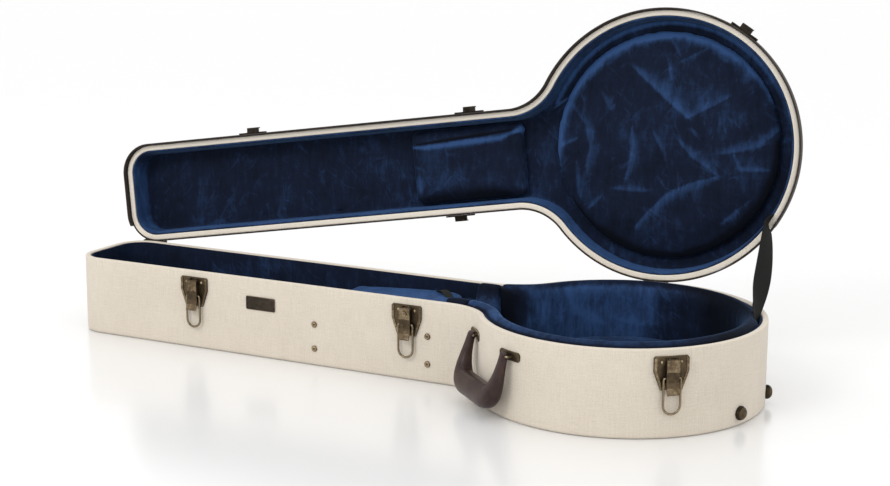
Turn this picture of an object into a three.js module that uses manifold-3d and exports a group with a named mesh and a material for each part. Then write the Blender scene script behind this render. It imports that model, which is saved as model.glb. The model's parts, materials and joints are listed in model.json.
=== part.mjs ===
// A hard-shell banjo case: lower shell, hinged lid, draw latches, handle, compartment and padding.
// Millimetres. X runs from the neck end to the tail, Y from the front to the back and Z up.
// The origin is on the floor under the centre of the round body, and the lid stands open.
import * as THREE from "three";
import { mergeVertices } from "three/addons/utils/BufferGeometryUtils.js";
import Module from "manifold-3d";

const wasm = await Module();
wasm.setup();

const { degToRad } = THREE.MathUtils;

// The case's outline and heights.
const bodyRadius = 194.5;
const neckReach = 870.5;
const neckEndHalfWidth = 75.2;
const neckRootHalfWidth = 71;
const neckCornerRadius = 43;
const leastCornerRadius = 3;
const junctionRadius = 76;
const baseHeight = 116.5;
const lidHeight = 50;
const lidSideHeight = 16;
const lidArchWidth = 30;
const lidPanelDepth = 37;
const openAngle = degToRad(97.2);

// Walls, linings and clearances.
const wallThickness = 7.8;
const lidTopThickness = 6;
const bottomThickness = 8.5;
const bottomEdgeRadius = 4.5;
const liningThickness = 3;
const liningDrop = 1.2;
const gap = 0.3;
const overrun = 3;

// Steps of the arcs that share the outline.
const bodySteps = 24;
const junctionSteps = 7;
const cornerSteps = 6;

const up = new THREE.Vector3(0, 0, 1);
const group = new THREE.Group();
group.name = "banjo_case";

const finishes = {
  linen: { color: 0xd8ccb8, roughness: 0.85, metalness: 0 },
  velvet: { color: 0x1f3a66, roughness: 0.95, metalness: 0 },
  binding: { color: 0x43352f, roughness: 0.55, metalness: 0 },
  brass: { color: 0x7a6a4a, roughness: 0.42, metalness: 0.85 },
  bronze: { color: 0x54493c, roughness: 0.5, metalness: 0.7 },
  leather: { color: 0x4e3c3a, roughness: 0.5, metalness: 0 },
  webbing: { color: 0x232321, roughness: 0.9, metalness: 0 },
  tab: { color: 0x4a4230, roughness: 0.8, metalness: 0 },
};

// Solids from geometries, and back.

function toSolid(geometry) {
  const bare = geometry.clone();
  bare.deleteAttribute("normal");
  bare.deleteAttribute("uv");
  const merged = mergeVertices(bare);
  return new wasm.Manifold(
    new wasm.Mesh({
      numProp: 3,
      vertProperties: new Float32Array(merged.getAttribute("position").array),
      triVerts: new Uint32Array(merged.getIndex().array),
    }),
  );
}

function toGeometry(solid) {
  const mesh = solid.getMesh();
  const geometry = new THREE.BufferGeometry();
  const positions = new THREE.Float32BufferAttribute(mesh.vertProperties, mesh.numProp);
  geometry.setAttribute("position", positions);
  geometry.setIndex(new THREE.Uint32BufferAttribute(mesh.triVerts, 1));
  const facets = geometry.toNonIndexed();
  facets.computeVertexNormals();
  return facets;
}

function moved(solid, matrix) {
  return solid.transform(matrix.elements);
}

function addPart(name, solid, finish) {
  const mesh = new THREE.Mesh(toGeometry(solid), new THREE.MeshStandardMaterial(finishes[finish]));
  mesh.name = name;
  group.add(mesh);
}

// Joins rings of equal length into a closed skin. The faces of both ends index into one ring.
function skin(rings, startFaces, endFaces) {
  const count = rings[0].length;
  const last = (rings.length - 1) * count;
  const positions = rings.flat().flatMap((point) => point.toArray());
  const faces = [];
  for (const [a, b, c] of startFaces) faces.push(c, b, a);
  for (const [a, b, c] of endFaces) faces.push(a + last, b + last, c + last);
  for (let ring = 0; ring < rings.length - 1; ring += 1) {
    for (let side = 0; side < count; side += 1) {
      const here = ring * count + side;
      const next = ring * count + ((side + 1) % count);
      if (side < count / 2) {
        faces.push(here, next, next + count, here, next + count, here + count);
      } else {
        faces.push(here, next, here + count, next, next + count, here + count);
      }
    }
  }
  const geometry = new THREE.BufferGeometry();
  geometry.setAttribute("position", new THREE.Float32BufferAttribute(positions, 3));
  geometry.setIndex(faces);
  return geometry;
}

function fan(count) {
  return Array.from({ length: count - 2 }, (_, index) => [0, index + 1, index + 2]);
}

// A closed tube of convex rings, such as a wire, a grip or a strap.
function sweep(rings) {
  const faces = fan(rings[0].length);
  return toSolid(skin(rings, faces, faces));
}

// A plate with its outline in X and Y, from one height to another.
function slab(points, low, high) {
  const shape = new THREE.Shape(points.map(([x, y]) => new THREE.Vector2(x, y)));
  const geometry = new THREE.ExtrudeGeometry(shape, { depth: high - low, bevelEnabled: false });
  return toSolid(geometry.translate(0, 0, low));
}

// A plate with its outline in Z and Y, spread to both sides along X.
function crossSlab(points, halfWidth) {
  const turn = new THREE.Matrix4().makeBasis(
    new THREE.Vector3(0, 0, 1),
    new THREE.Vector3(0, 1, 0),
    new THREE.Vector3(-1, 0, 0),
  );
  return moved(slab(points, -halfWidth, halfWidth), turn);
}

function block(low, high) {
  return slab(
    [
      [low[0], low[1]],
      [high[0], low[1]],
      [high[0], high[1]],
      [low[0], high[1]],
    ],
    low[2],
    high[2],
  );
}

function cylinder(radius, start, end, sides) {
  const from = new THREE.Vector3(...start);
  const along = new THREE.Vector3(...end).sub(from);
  const geometry = new THREE.CylinderGeometry(radius, radius, along.length(), sides);
  const turn = new THREE.Quaternion().setFromUnitVectors(
    new THREE.Vector3(0, 1, 0),
    along.clone().normalize(),
  );
  const centre = from.clone().addScaledVector(along, 0.5);
  const place = new THREE.Matrix4().compose(centre, turn, new THREE.Vector3(1, 1, 1));
  return toSolid(geometry.applyMatrix4(place));
}

// A turned piece around Z, from a profile of radius and height that starts and ends on the axis.
function turned(profile, steps) {
  const points = profile.map(([radius, height]) => new THREE.Vector2(radius, height));
  return toSolid(new THREE.LatheGeometry(points, steps).rotateX(Math.PI / 2));
}

// The outline that every shell, lining and pad shares, grown outward by a distance.

const neckSlope = Math.atan2(neckRootHalfWidth - neckEndHalfWidth, neckReach);
const neckSide = new THREE.Vector2(-Math.sin(neckSlope), Math.cos(neckSlope));
const sideDistance = neckSide.dot(new THREE.Vector2(-neckReach, neckEndHalfWidth));
const junctionReach = bodyRadius + junctionRadius;
const junctionCentre = neckSide
  .clone()
  .multiplyScalar(sideDistance + junctionRadius)
  .addScaledVector(
    new THREE.Vector2(-neckSide.y, neckSide.x),
    Math.sqrt(junctionReach ** 2 - (sideDistance + junctionRadius) ** 2),
  );

const junctionCentreAngle = junctionCentre.angle();

// Where the straight side of the neck ends and the junction begins.
const neckRootX = junctionCentre.x - neckSide.x * junctionRadius;

function cornerCentre(grow) {
  const radius = Math.max(neckCornerRadius + grow, leastCornerRadius);
  const x = radius - neckReach - grow;
  const y = (sideDistance + grow - radius - neckSide.x * x) / neckSide.y;
  return new THREE.Vector2(x, y);
}

function arc(centre, radius, from, to, steps) {
  return Array.from({ length: steps + 1 }, (_, step) => {
    const angle = from + ((to - from) * step) / steps;
    return new THREE.Vector2(
      centre.x + radius * Math.cos(angle),
      centre.y + radius * Math.sin(angle),
    );
  });
}

function outline(grow) {
  const bodyEnd = junctionCentreAngle;
  const sideAngle = neckSide.angle();
  const cornerRadius = Math.max(neckCornerRadius + grow, leastCornerRadius);
  const body = arc(new THREE.Vector2(0, 0), bodyRadius + grow, 0, bodyEnd, bodySteps);
  const junction = arc(
    junctionCentre,
    junctionRadius - grow,
    bodyEnd + Math.PI,
    sideAngle + Math.PI,
    junctionSteps,
  );
  const corner = arc(cornerCentre(grow), cornerRadius, sideAngle, Math.PI, cornerSteps);
  const half = [...body, ...junction.slice(1), ...corner];
  const mirrored = half
    .slice(1)
    .reverse()
    .map((point) => new THREE.Vector2(point.x, -point.y));
  return [...half, ...mirrored];
}

// A solid that follows the outline, from levels of growth and height that rise.
function loft(levels) {
  const rings = levels.map(([grow, z]) =>
    outline(grow).map((point) => new THREE.Vector3(point.x, point.y, z)),
  );
  const [startFaces, endFaces] = [levels[0], levels[levels.length - 1]].map(([grow]) =>
    THREE.ShapeUtils.triangulateShape(outline(grow), []),
  );
  return toSolid(skin(rings, startFaces, endFaces));
}

// What the lower shell fills, with a gap, so that a fitting's back follows the wall.
const wallSpace = loft([
  [gap, -overrun],
  [gap, baseHeight + overrun],
]);

// Places on the outer wall: a point in plan and the direction that the wall faces there.

function neckWall(x, side) {
  const y = (sideDistance - neckSide.x * x) / neckSide.y;
  return {
    point: new THREE.Vector3(x, side * y, 0),
    normal: new THREE.Vector3(neckSide.x, side * neckSide.y, 0),
  };
}

function bodyWall(angle) {
  const normal = new THREE.Vector3(Math.cos(angle), Math.sin(angle), 0);
  return { point: normal.clone().multiplyScalar(bodyRadius), normal };
}

// A place on the front junction, an angle back from where it leaves the body.
function junctionWall(turn) {
  const angle = Math.PI - junctionCentreAngle + turn;
  const inward = new THREE.Vector3(Math.cos(angle), Math.sin(angle), 0);
  const centre = new THREE.Vector3(junctionCentre.x, -junctionCentre.y, 0);
  return {
    point: centre.addScaledVector(inward, junctionRadius),
    normal: inward.clone().negate(),
  };
}

// Takes a fitting's own frame to the wall: X along it, Y up from the floor and Z outward.
function onWall({ point, normal }) {
  const along = new THREE.Vector3().crossVectors(up, normal);
  return new THREE.Matrix4().makeBasis(along, up, normal).setPosition(point);
}

// The hinge line touches the back of the body and the back corner of the neck end.

const hingeOut = 3;
const hingeDrop = 2.5;
const backCorner = cornerCentre(0);
const cornerToBody = backCorner.clone().negate();
const hingeTurn = Math.acos((neckCornerRadius - bodyRadius) / cornerToBody.length());
const hingeFacing = cornerToBody.angle() + hingeTurn;
const hingeNormal = new THREE.Vector3(Math.cos(hingeFacing), Math.sin(hingeFacing), 0);
const hingeAxis = new THREE.Vector3(hingeNormal.y, -hingeNormal.x, 0);
const hingePoint = hingeNormal
  .clone()
  .multiplyScalar(bodyRadius + hingeOut)
  .setZ(baseHeight - hingeDrop);

// Turns the lid's pieces, which are drawn closed, to where they stand open.
const openLid = new THREE.Matrix4()
  .makeTranslation(hingePoint)
  .multiply(new THREE.Matrix4().makeRotationAxis(hingeAxis, -openAngle))
  .multiply(new THREE.Matrix4().makeTranslation(hingePoint.clone().negate()));

function addLidPart(name, solid, finish) {
  addPart(name, moved(solid, openLid), finish);
}

// The lower shell.

const wallFoot = bottomThickness + gap;
const liningGrow = -wallThickness - gap;
const linedGrow = liningGrow - liningThickness;
const floorTop = wallFoot + liningThickness;
const liningTop = baseHeight - liningDrop;

function addLowerShell() {
  const edgeShare = 0.3;
  const bottom = loft([
    [-bottomEdgeRadius, 0],
    [-bottomEdgeRadius * edgeShare, bottomEdgeRadius * edgeShare],
    [0, bottomEdgeRadius],
    [0, bottomThickness],
  ]);
  addPart("bottom_panel", bottom, "linen");

  const wall = loft([
    [0, wallFoot],
    [0, baseHeight],
  ]).subtract(
    loft([
      [-wallThickness, wallFoot - overrun],
      [-wallThickness, baseHeight + overrun],
    ]),
  );
  addPart("base_wall", wall, "linen");

  const lining = loft([
    [liningGrow, wallFoot],
    [liningGrow, liningTop],
  ]).subtract(
    loft([
      [linedGrow, floorTop],
      [linedGrow, liningTop + overrun],
    ]),
  );
  addPart("base_lining", lining, "velvet");
}

// Padding of the lower shell.

const padGrow = linedGrow - gap;
const padThickness = 22;
const padStand = 5;
const padTop = baseHeight + padStand;
const padCrown = 11;
const padStartX = neckRootX + 22.7;
const padFoot = floorTop + gap;

// The stay strap runs straight from a pocket in the side padding to a notch in the lid's lining.
const strapWidth = 24;
const strapThickness = 1.6;
const strapBaseAngle = degToRad(22);
const strapLidAngle = degToRad(40);
const strapLidSlant = degToRad(2.2);
const strapPocketReach = 26;
const strapLidDepth = 12;
const strapBow = 2.7;
const strapLean = 3.8;
const facetSag = bodyRadius * (1 - Math.cos(junctionCentreAngle / bodySteps / 2));
const strapSetIn = gap + facetSag + strapWidth ** 2 / (8 * bodyRadius) + strapThickness / 2;

function addSidePad() {
  const inner = padGrow - padThickness;
  const crownShares = [
    [0, 0],
    [0.08, 0.4],
    [0.24, 0.8],
    [0.5, 1],
  ];
  const shoulder = padTop - padCrown;
  const outerLevels = crownShares.map(([across, rise]) => [
    padGrow - across * padThickness,
    shoulder + rise * padCrown,
  ]);
  const innerLevels = crownShares
    .slice(0, -1)
    .map(([across, rise]) => [inner + across * padThickness, shoulder + rise * padCrown]);
  const hollowTop = [inner + crownShares[2][0] * padThickness * 2, padTop + gap];
  const ring = loft([[padGrow, padFoot], ...outerLevels]).subtract(
    loft([[inner, padFoot - overrun], ...innerLevels, hollowTop]),
  );
  const neckPart = block(
    [-neckReach, -bodyRadius, 0],
    [padStartX, bodyRadius, padTop + overrun],
  );
  addPart("body_side_pad", ring.subtract(neckPart).subtract(strapPocket()), "velvet");
}

const floorPadTop = 44;
const wellRadius = bodyRadius + padGrow - padThickness;

function addFloorPad() {
  const crown = 3;
  const roundness = 7;
  const radius = wellRadius - gap;
  const softShare = 0.3;
  const pad = turned(
    [
      [0, padFoot],
      [radius - roundness * softShare, padFoot],
      [radius, padFoot + roundness * softShare],
      [radius, floorPadTop - roundness],
      [radius - roundness * softShare, floorPadTop - roundness * softShare],
      [radius - roundness, floorPadTop],
      [radius / 2, floorPadTop + crown / 2],
      [0, floorPadTop + crown],
    ],
    40,
  );
  addPart("body_floor_pad", pad, "velvet");
}

const cradleThickness = 35;
const cradleBack = padStartX - gap;

function addNeckCradle() {
  const saddleHalfWidth = 44;
  const saddleDepth = 30;
  const wingRound = 5;
  const halfWidth = neckRootHalfWidth + padGrow;
  const wing = padTop - gap;
  const saddleShares = [
    [1, 0],
    [0.93, 0.42],
    [0.76, 0.75],
    [0.45, 0.95],
    [0, 1],
  ];
  const rightSide = [
    [halfWidth, padFoot],
    [halfWidth, wing - wingRound],
    [halfWidth - wingRound, wing],
    ...saddleShares.map(([across, down]) => [saddleHalfWidth * across, wing - saddleDepth * down]),
  ];
  const leftSide = rightSide
    .slice(0, -1)
    .reverse()
    .map(([y, z]) => [-y, z]);
  const profile = [...rightSide, ...leftSide];
  const stand = new THREE.Matrix4().makeBasis(
    new THREE.Vector3(0, 1, 0),
    new THREE.Vector3(0, 0, 1),
    new THREE.Vector3(1, 0, 0),
  );
  addPart(
    "neck_cradle",
    moved(slab(profile, cradleBack - cradleThickness, cradleBack), stand),
    "velvet",
  );
}

// The accessory compartment: two end walls, a padded lid that lifts and its pull tab.

const compartmentEnd = neckRootX - 31.3;
const compartmentStart = compartmentEnd - 183;
const compartmentWall = 6;
const compartmentLidThickness = 8;
const compartmentLidLow = baseHeight - 33.5;
const compartmentLidHigh = compartmentLidLow + 10;
const compartmentTilt = Math.atan2(
  compartmentLidHigh - compartmentLidLow,
  compartmentEnd - compartmentStart,
);
const compartmentHinge = new THREE.Vector3(
  compartmentStart - compartmentWall / 2,
  0,
  compartmentLidLow,
);
const channelHalfWidth = neckRootHalfWidth + linedGrow;

function neckInside(x, grow) {
  return (sideDistance + grow - neckSide.x * x) / neckSide.y;
}

function addCompartment() {
  const undersideAt = (x) =>
    compartmentHinge.z + (x - compartmentHinge.x) * Math.tan(compartmentTilt);
  for (const [name, x] of [
    ["compartment_wall_neck", compartmentStart],
    ["compartment_wall_body", compartmentEnd],
  ]) {
    const low = x - compartmentWall / 2;
    const half = neckInside(x, padGrow);
    const top = undersideAt(low) - gap;
    addPart(name, block([low, -half, padFoot], [low + compartmentWall, half, top]), "velvet");
  }

  const length = (compartmentEnd + compartmentWall / 2 - compartmentHinge.x) / Math.cos(compartmentTilt);
  const half = channelHalfWidth - 2 * gap;
  const tailCorner = 40;
  const hingeCorner = 6;
  const edgeRound = 3;
  const boardOutline = (inset) => {
    const tailRadius = tailCorner - inset;
    const hingeRadius = hingeCorner - inset;
    const endX = length - tailCorner;
    const quarter = Math.PI / 2;
    const corners = [
      [new THREE.Vector2(endX, half - tailCorner), tailRadius, 0],
      [new THREE.Vector2(hingeCorner, half - hingeCorner), hingeRadius, quarter],
      [new THREE.Vector2(hingeCorner, hingeCorner - half), hingeRadius, 2 * quarter],
      [new THREE.Vector2(endX, tailCorner - half), tailRadius, 3 * quarter],
    ];
    return corners.flatMap(([centre, radius, start]) => arc(centre, radius, start, start + quarter, 5));
  };
  const tilt = new THREE.Matrix4()
    .makeTranslation(compartmentHinge)
    .multiply(new THREE.Matrix4().makeRotationY(-compartmentTilt));
  const levels = [
    [0, 0],
    [0, compartmentLidThickness - edgeRound],
    [edgeRound, compartmentLidThickness],
  ];
  const rings = levels.map(([inset, z]) =>
    boardOutline(inset).map((point) => new THREE.Vector3(point.x, point.y, z)),
  );
  addPart("compartment_lid", moved(sweep(rings), tilt), "velvet");
  addPullTab(tilt, length);
}

// A ribbon laid across the back corner of the compartment's lid.
function addPullTab(tilt, length) {
  const tabLength = 50;
  const tabWidth = 11;
  const tabThickness = 1.6;
  const tabRise = 5;
  const tabInsetX = 31;
  const tabY = 32;
  const tabTurn = degToRad(-44);
  const seatZ = compartmentLidThickness + gap;
  const steps = 8;
  const rings = Array.from({ length: steps + 1 }, (_, step) => {
    const share = step / steps;
    const x = (share - 0.5) * tabLength;
    const z = tabRise * Math.sin(Math.PI * share);
    return [
      new THREE.Vector3(x, -tabWidth / 2, z),
      new THREE.Vector3(x, tabWidth / 2, z),
      new THREE.Vector3(x, tabWidth / 2, z + tabThickness),
      new THREE.Vector3(x, -tabWidth / 2, z + tabThickness),
    ];
  });
  const place = new THREE.Matrix4()
    .makeTranslation(length - tabInsetX, tabY, seatZ)
    .multiply(new THREE.Matrix4().makeRotationZ(tabTurn));
  addPart("pull_tab", moved(sweep(rings), tilt.clone().multiply(place)), "tab");
}

// Small fittings on the walls.

const rivetRadius = 4.7;
const rivetHeights = {
  neck: { low: 25.3, high: 60.8 },
  body: { low: 26.5, high: 66.1 },
};

function addCompartmentRivets() {
  const height = 2.2;
  const hollowRadius = 2;
  const hollowDepth = 0.8;
  const rivet = turned(
    [
      [0, gap],
      [rivetRadius, gap],
      [rivetRadius, gap + height / 3],
      [(rivetRadius + hollowRadius) / 2, gap + height],
      [hollowRadius, gap + height],
      [hollowRadius, gap + height - hollowDepth],
      [0, gap + height - hollowDepth],
    ],
    12,
  );
  for (const [place, x] of [
    ["neck", compartmentStart],
    ["body", compartmentEnd],
  ]) {
    for (const [level, height] of Object.entries(rivetHeights[place])) {
      const seat = onWall(neckWall(x, -1)).multiply(new THREE.Matrix4().makeTranslation(0, height, 0));
      addPart(`rivet_${place}_${level}`, moved(rivet, seat), "brass");
    }
  }
}

function addNamePlate() {
  const plateX = 339 - neckReach;
  const plateHeight = baseHeight - 36.1;
  const halfLength = 24.8;
  const halfHeight = 10;
  const thickness = 1.2;
  const corner = 1.5;
  const points = [
    [-halfLength, -halfHeight + corner],
    [-halfLength + corner, -halfHeight],
    [halfLength - corner, -halfHeight],
    [halfLength, -halfHeight + corner],
    [halfLength, halfHeight - corner],
    [halfLength - corner, halfHeight],
    [-halfLength + corner, halfHeight],
    [-halfLength, halfHeight - corner],
  ];
  const seat = onWall(neckWall(plateX, -1)).multiply(
    new THREE.Matrix4().makeTranslation(0, plateHeight, 0),
  );
  addPart("name_plate", moved(slab(points, gap, gap + thickness), seat), "bronze");
}

function addTailFeet() {
  const footRadius = 9.5;
  const footProud = 9;
  const footHeight = 17.5;
  const footAngle = degToRad(16.1);
  const domeShares = [
    [1, 0],
    [1, 0.3],
    [0.88, 0.62],
    [0.6, 0.88],
    [0.28, 0.98],
    [0, 1],
  ];
  const dome = domeShares.map(([radius, height]) => [footRadius * radius, footProud * height]);
  const stud = turned([[0, -overrun], [footRadius, -overrun], ...dome], 16);
  for (const [name, angle] of [
    ["tail_foot_front", -footAngle],
    ["tail_foot_back", footAngle],
  ]) {
    const seat = onWall(bodyWall(angle)).multiply(
      new THREE.Matrix4().makeTranslation(0, footHeight, 0),
    );
    addPart(name, moved(stud, seat).subtract(wallSpace), "brass");
  }
}

// A sleeve round the lower shell, from a gap off the wall out to a face that follows the wall.
function wallSleeve(face) {
  return loft([
    [face, -overrun],
    [face, baseHeight + overrun],
  ]).subtract(wallSpace);
}

// The hinges: a leaf on each shell, knuckles on the hinge line and a pin through them.

const leafThickness = 1.4;
const knuckleRadius = 2.7;
const hingePinRadius = 1.2;
const leafHalfWidth = 17;
const bindingProud = 2.6;
const bindingFoot = baseHeight + 0.7;
const lipTop = baseHeight + 11.5;

function addHinges() {
  const places = {
    neck: new THREE.Vector3(backCorner.x, backCorner.y, 0).addScaledVector(hingeNormal, neckCornerRadius),
    body: hingeNormal.clone().multiplyScalar(bodyRadius),
  };
  const baseLeafFoot = baseHeight - 30.5;
  const baseLeafTop = baseHeight - 0.5;
  const lidLeafTop = lipTop - 0.5;
  const axisHeight = baseHeight - hingeDrop;
  const backing = 4;
  const middleHalf = leafHalfWidth / 3;
  const bindingSpace = loft([
    [bindingProud + gap, baseHeight - overrun],
    [bindingProud + gap, lipTop + overrun],
  ]);
  for (const [name, point] of Object.entries(places)) {
    const seat = onWall({ point, normal: hingeNormal });
    const knuckle = (from, to) =>
      cylinder(knuckleRadius, [from, axisHeight, hingeOut], [to, axisHeight, hingeOut], 14);
    const bore = cylinder(
      hingePinRadius + gap,
      [-leafHalfWidth - overrun, axisHeight, hingeOut],
      [leafHalfWidth + overrun, axisHeight, hingeOut],
      12,
    );
    const side = knuckleRadius + gap;
    const middleSpace = block(
      [-middleHalf - gap, axisHeight - side, -backing],
      [middleHalf + gap, axisHeight + side + overrun, hingeOut + side],
    );
    const baseLeaf = block(
      [-leafHalfWidth, baseLeafFoot, -backing],
      [leafHalfWidth, axisHeight, gap + leafThickness],
    )
      .subtract(moved(wallSpace, seat.clone().invert()))
      .add(knuckle(-leafHalfWidth, leafHalfWidth))
      .subtract(middleSpace)
      .subtract(bore);
    addPart(`hinge_base_leaf_${name}`, moved(baseLeaf, seat), "brass");

    const leafFace = bindingProud + gap;
    const lidLeaf = block(
      [-leafHalfWidth, bindingFoot + gap, -backing],
      [leafHalfWidth, lidLeafTop, leafFace + leafThickness],
    )
      .subtract(moved(bindingSpace, seat.clone().invert()))
      .add(
        block([-middleHalf, axisHeight, leafFace], [middleHalf, lidLeafTop, leafFace + leafThickness]),
      )
      .add(knuckle(-middleHalf, middleHalf))
      .subtract(bore);
    addLidPart(`hinge_lid_leaf_${name}`, moved(lidLeaf, seat), "brass");

    const pin = cylinder(
      hingePinRadius,
      [-leafHalfWidth, axisHeight, hingeOut],
      [leafHalfWidth, axisHeight, hingeOut],
      12,
    );
    addPart(`hinge_pin_${name}`, moved(pin, seat), "brass");
  }
}

// The lid: an arched shell, its lining and pads, and the brown edge that covers the joint.

const rimHeight = baseHeight + gap;
const archStepShares = [0, 0.2, 0.42, 0.65, 0.85, 1];

// Levels of an arched form: straight sides, then a quarter of an ellipse up to the flat top.
function archLevels(foot, grow, height) {
  const width = lidArchWidth + grow;
  const rise = height - lidSideHeight;
  const arch = archStepShares.map((share) => {
    const angle = (share * Math.PI) / 2;
    return [
      grow - width * (1 - Math.cos(angle)),
      rimHeight + lidSideHeight + rise * Math.sin(angle),
    ];
  });
  return [[grow, foot], ...arch];
}

const lidLiningHeight = lidHeight - lidTopThickness - gap;
const lidLiningFoot = rimHeight + liningDrop;

// Levels of the room in the lid's lining: steep sides, and a rounded corner to the flat panel.
function hollowLevels(foot, shrink) {
  const inset = 11;
  const roomShares = [
    [0.22, 0.757],
    [0.355, 0.892],
    [0.67, 0.986],
    [1, 1],
  ];
  const levels = roomShares.map(([inward, depth]) => [
    linedGrow - shrink - inward * inset,
    rimHeight + depth * lidPanelDepth - shrink,
  ]);
  return [[linedGrow - shrink, foot], ...levels];
}

function addLidShell() {
  const shell = loft(archLevels(rimHeight, 0, lidHeight)).subtract(
    loft(archLevels(rimHeight - overrun, -wallThickness, lidHeight - lidTopThickness)),
  );
  addLidPart("lid_shell", shell, "linen");

  const room = loft(hollowLevels(lidLiningFoot - overrun, 0));
  const lining = loft(archLevels(lidLiningFoot, liningGrow, lidLiningHeight)).subtract(room);
  addPart("lid_lining", moved(lining, openLid).subtract(strapNotch()), "velvet");
}

const lidPadThickness = 16;
const lidPadFace = rimHeight + lidPanelDepth - lidPadThickness;

function addLidPads() {
  const room = loft(hollowLevels(lidLiningFoot, gap));
  const top = rimHeight + lidPanelDepth - gap;
  const discRadius = 167;
  const discEdge = 34;
  const crown = 3;
  const edgeShares = [
    [0, 1],
    [0.03, 0.65],
    [0.13, 0.35],
    [0.3, 0.15],
    [0.6, 0.03],
    [1, 0],
  ];
  const edge = edgeShares.map(([inward, rise]) => [
    discRadius - discEdge * inward,
    lidPadFace + (top - lidPadFace) * rise,
  ]);
  const disc = turned(
    [
      [0, lidPadFace - crown],
      [discRadius / 2, lidPadFace - crown / 2],
      ...edge.slice().reverse(),
      [0, top],
    ],
    40,
  );
  addLidPart("lid_body_pad", disc, "velvet");

  const padEnd = neckRootX + 11.7;
  const padStart = padEnd - 179;
  const middle = (padStart + padEnd) / 2;
  const halfLength = (padEnd - padStart) / 2;
  const halfWidth = 57.5;
  const padRound = 9;
  const insetShares = [
    [0.9, 0],
    [0.35, 0.2],
    [0, 1],
  ];
  const cornerRadius = 12;
  const levels = insetShares.map(([inset, height]) => [
    padRound * inset,
    lidPadFace + padRound * height,
  ]);
  const rings = [...levels, [0, top]].map(([inset, z]) => {
    const x = halfLength - cornerRadius;
    const y = halfWidth - cornerRadius;
    const quarter = Math.PI / 2;
    const corners = [
      [new THREE.Vector2(middle + x, y), 0],
      [new THREE.Vector2(middle - x, y), quarter],
      [new THREE.Vector2(middle - x, -y), 2 * quarter],
      [new THREE.Vector2(middle + x, -y), 3 * quarter],
    ];
    return corners
      .flatMap(([centre, start]) => arc(centre, cornerRadius - inset, start, start + quarter, 3))
      .map((point) => new THREE.Vector3(point.x, point.y, z));
  });
  addLidPart("lid_neck_pad", sweep(rings).intersect(room), "velvet");
}

const lipProud = 3.2;
const lipDrop = 8;
const lipTailAngle = degToRad(41);
const lipCornerAngle = degToRad(157);

// The wedge behind the case in which the lid's edge has no lip, so that the hinges can turn.
function hingeSide(shrink) {
  const far = 3 * bodyRadius;
  const tailAngle = lipTailAngle + shrink;
  const cornerAngle = lipCornerAngle - shrink;
  const corner = [backCorner.x, backCorner.y];
  return slab(
    [
      [0, 0],
      [far * Math.cos(tailAngle), far * Math.sin(tailAngle)],
      [0, 2 * far],
      [-neckReach, 2 * far],
      [backCorner.x + far * Math.cos(cornerAngle), backCorner.y + far * Math.sin(cornerAngle)],
      corner,
    ],
    0,
    baseHeight + lidHeight,
  );
}

function addLidEdge() {
  const grooveDepth = 0.8;
  const grooveHeight = rimHeight + 2;
  const grooveHalf = 0.9;
  const clearance = 0.9;
  const lip = loft([
    [lipProud, baseHeight - lipDrop],
    [lipProud, grooveHeight - grooveHalf],
    [lipProud - grooveDepth, grooveHeight],
    [lipProud, grooveHeight + grooveHalf],
    [lipProud, lipTop],
  ])
    .subtract(
      loft([
        [clearance, baseHeight - lipDrop - overrun],
        [clearance, rimHeight - gap],
        [gap, rimHeight - gap],
        [gap, lipTop + overrun],
      ]),
    )
    .subtract(hingeSide(0));
  addLidPart("lid_lip", lip, "binding");

  const jointShare = 0.0015;
  const binding = loft([
    [bindingProud, bindingFoot],
    [bindingProud, lipTop],
  ])
    .subtract(
      loft([
        [gap, bindingFoot - overrun],
        [gap, lipTop + overrun],
      ]),
    )
    .intersect(hingeSide(jointShare));
  addLidPart("lid_binding", binding, "binding");
}

// The draw latches: a plate, a lever on a pin, a wire bail on the lever and a strike on the lid.

const latchPlaces = {
  neck: neckWall(223.8 - neckReach, -1),
  middle: neckWall(neckRootX - 63.3, -1),
  body: bodyWall(degToRad(-49.3)),
  back: neckWall(neckRootX - 91.3, 1),
};
const leverPinHeight = baseHeight - 13.3;
const leverPinOut = 4.6;
const leverPinRadius = 1.25;
const leverHalfWidth = 8.5;
const leverSheet = 1.2;
const leverFace = 9.4;
const bailHeight = baseHeight - 36;
const bailOut = 5.2;
const bailWire = 1.6;
const bailHalfWidth = 11.3;
const bailFoot = baseHeight - 83;
const plateTop = baseHeight - 8.4;
const plateFoot = baseHeight - 52;
const plateHalfWidth = 23;
const keyHeight = baseHeight - 20.2;
const keyRadius = 3.4;

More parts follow.
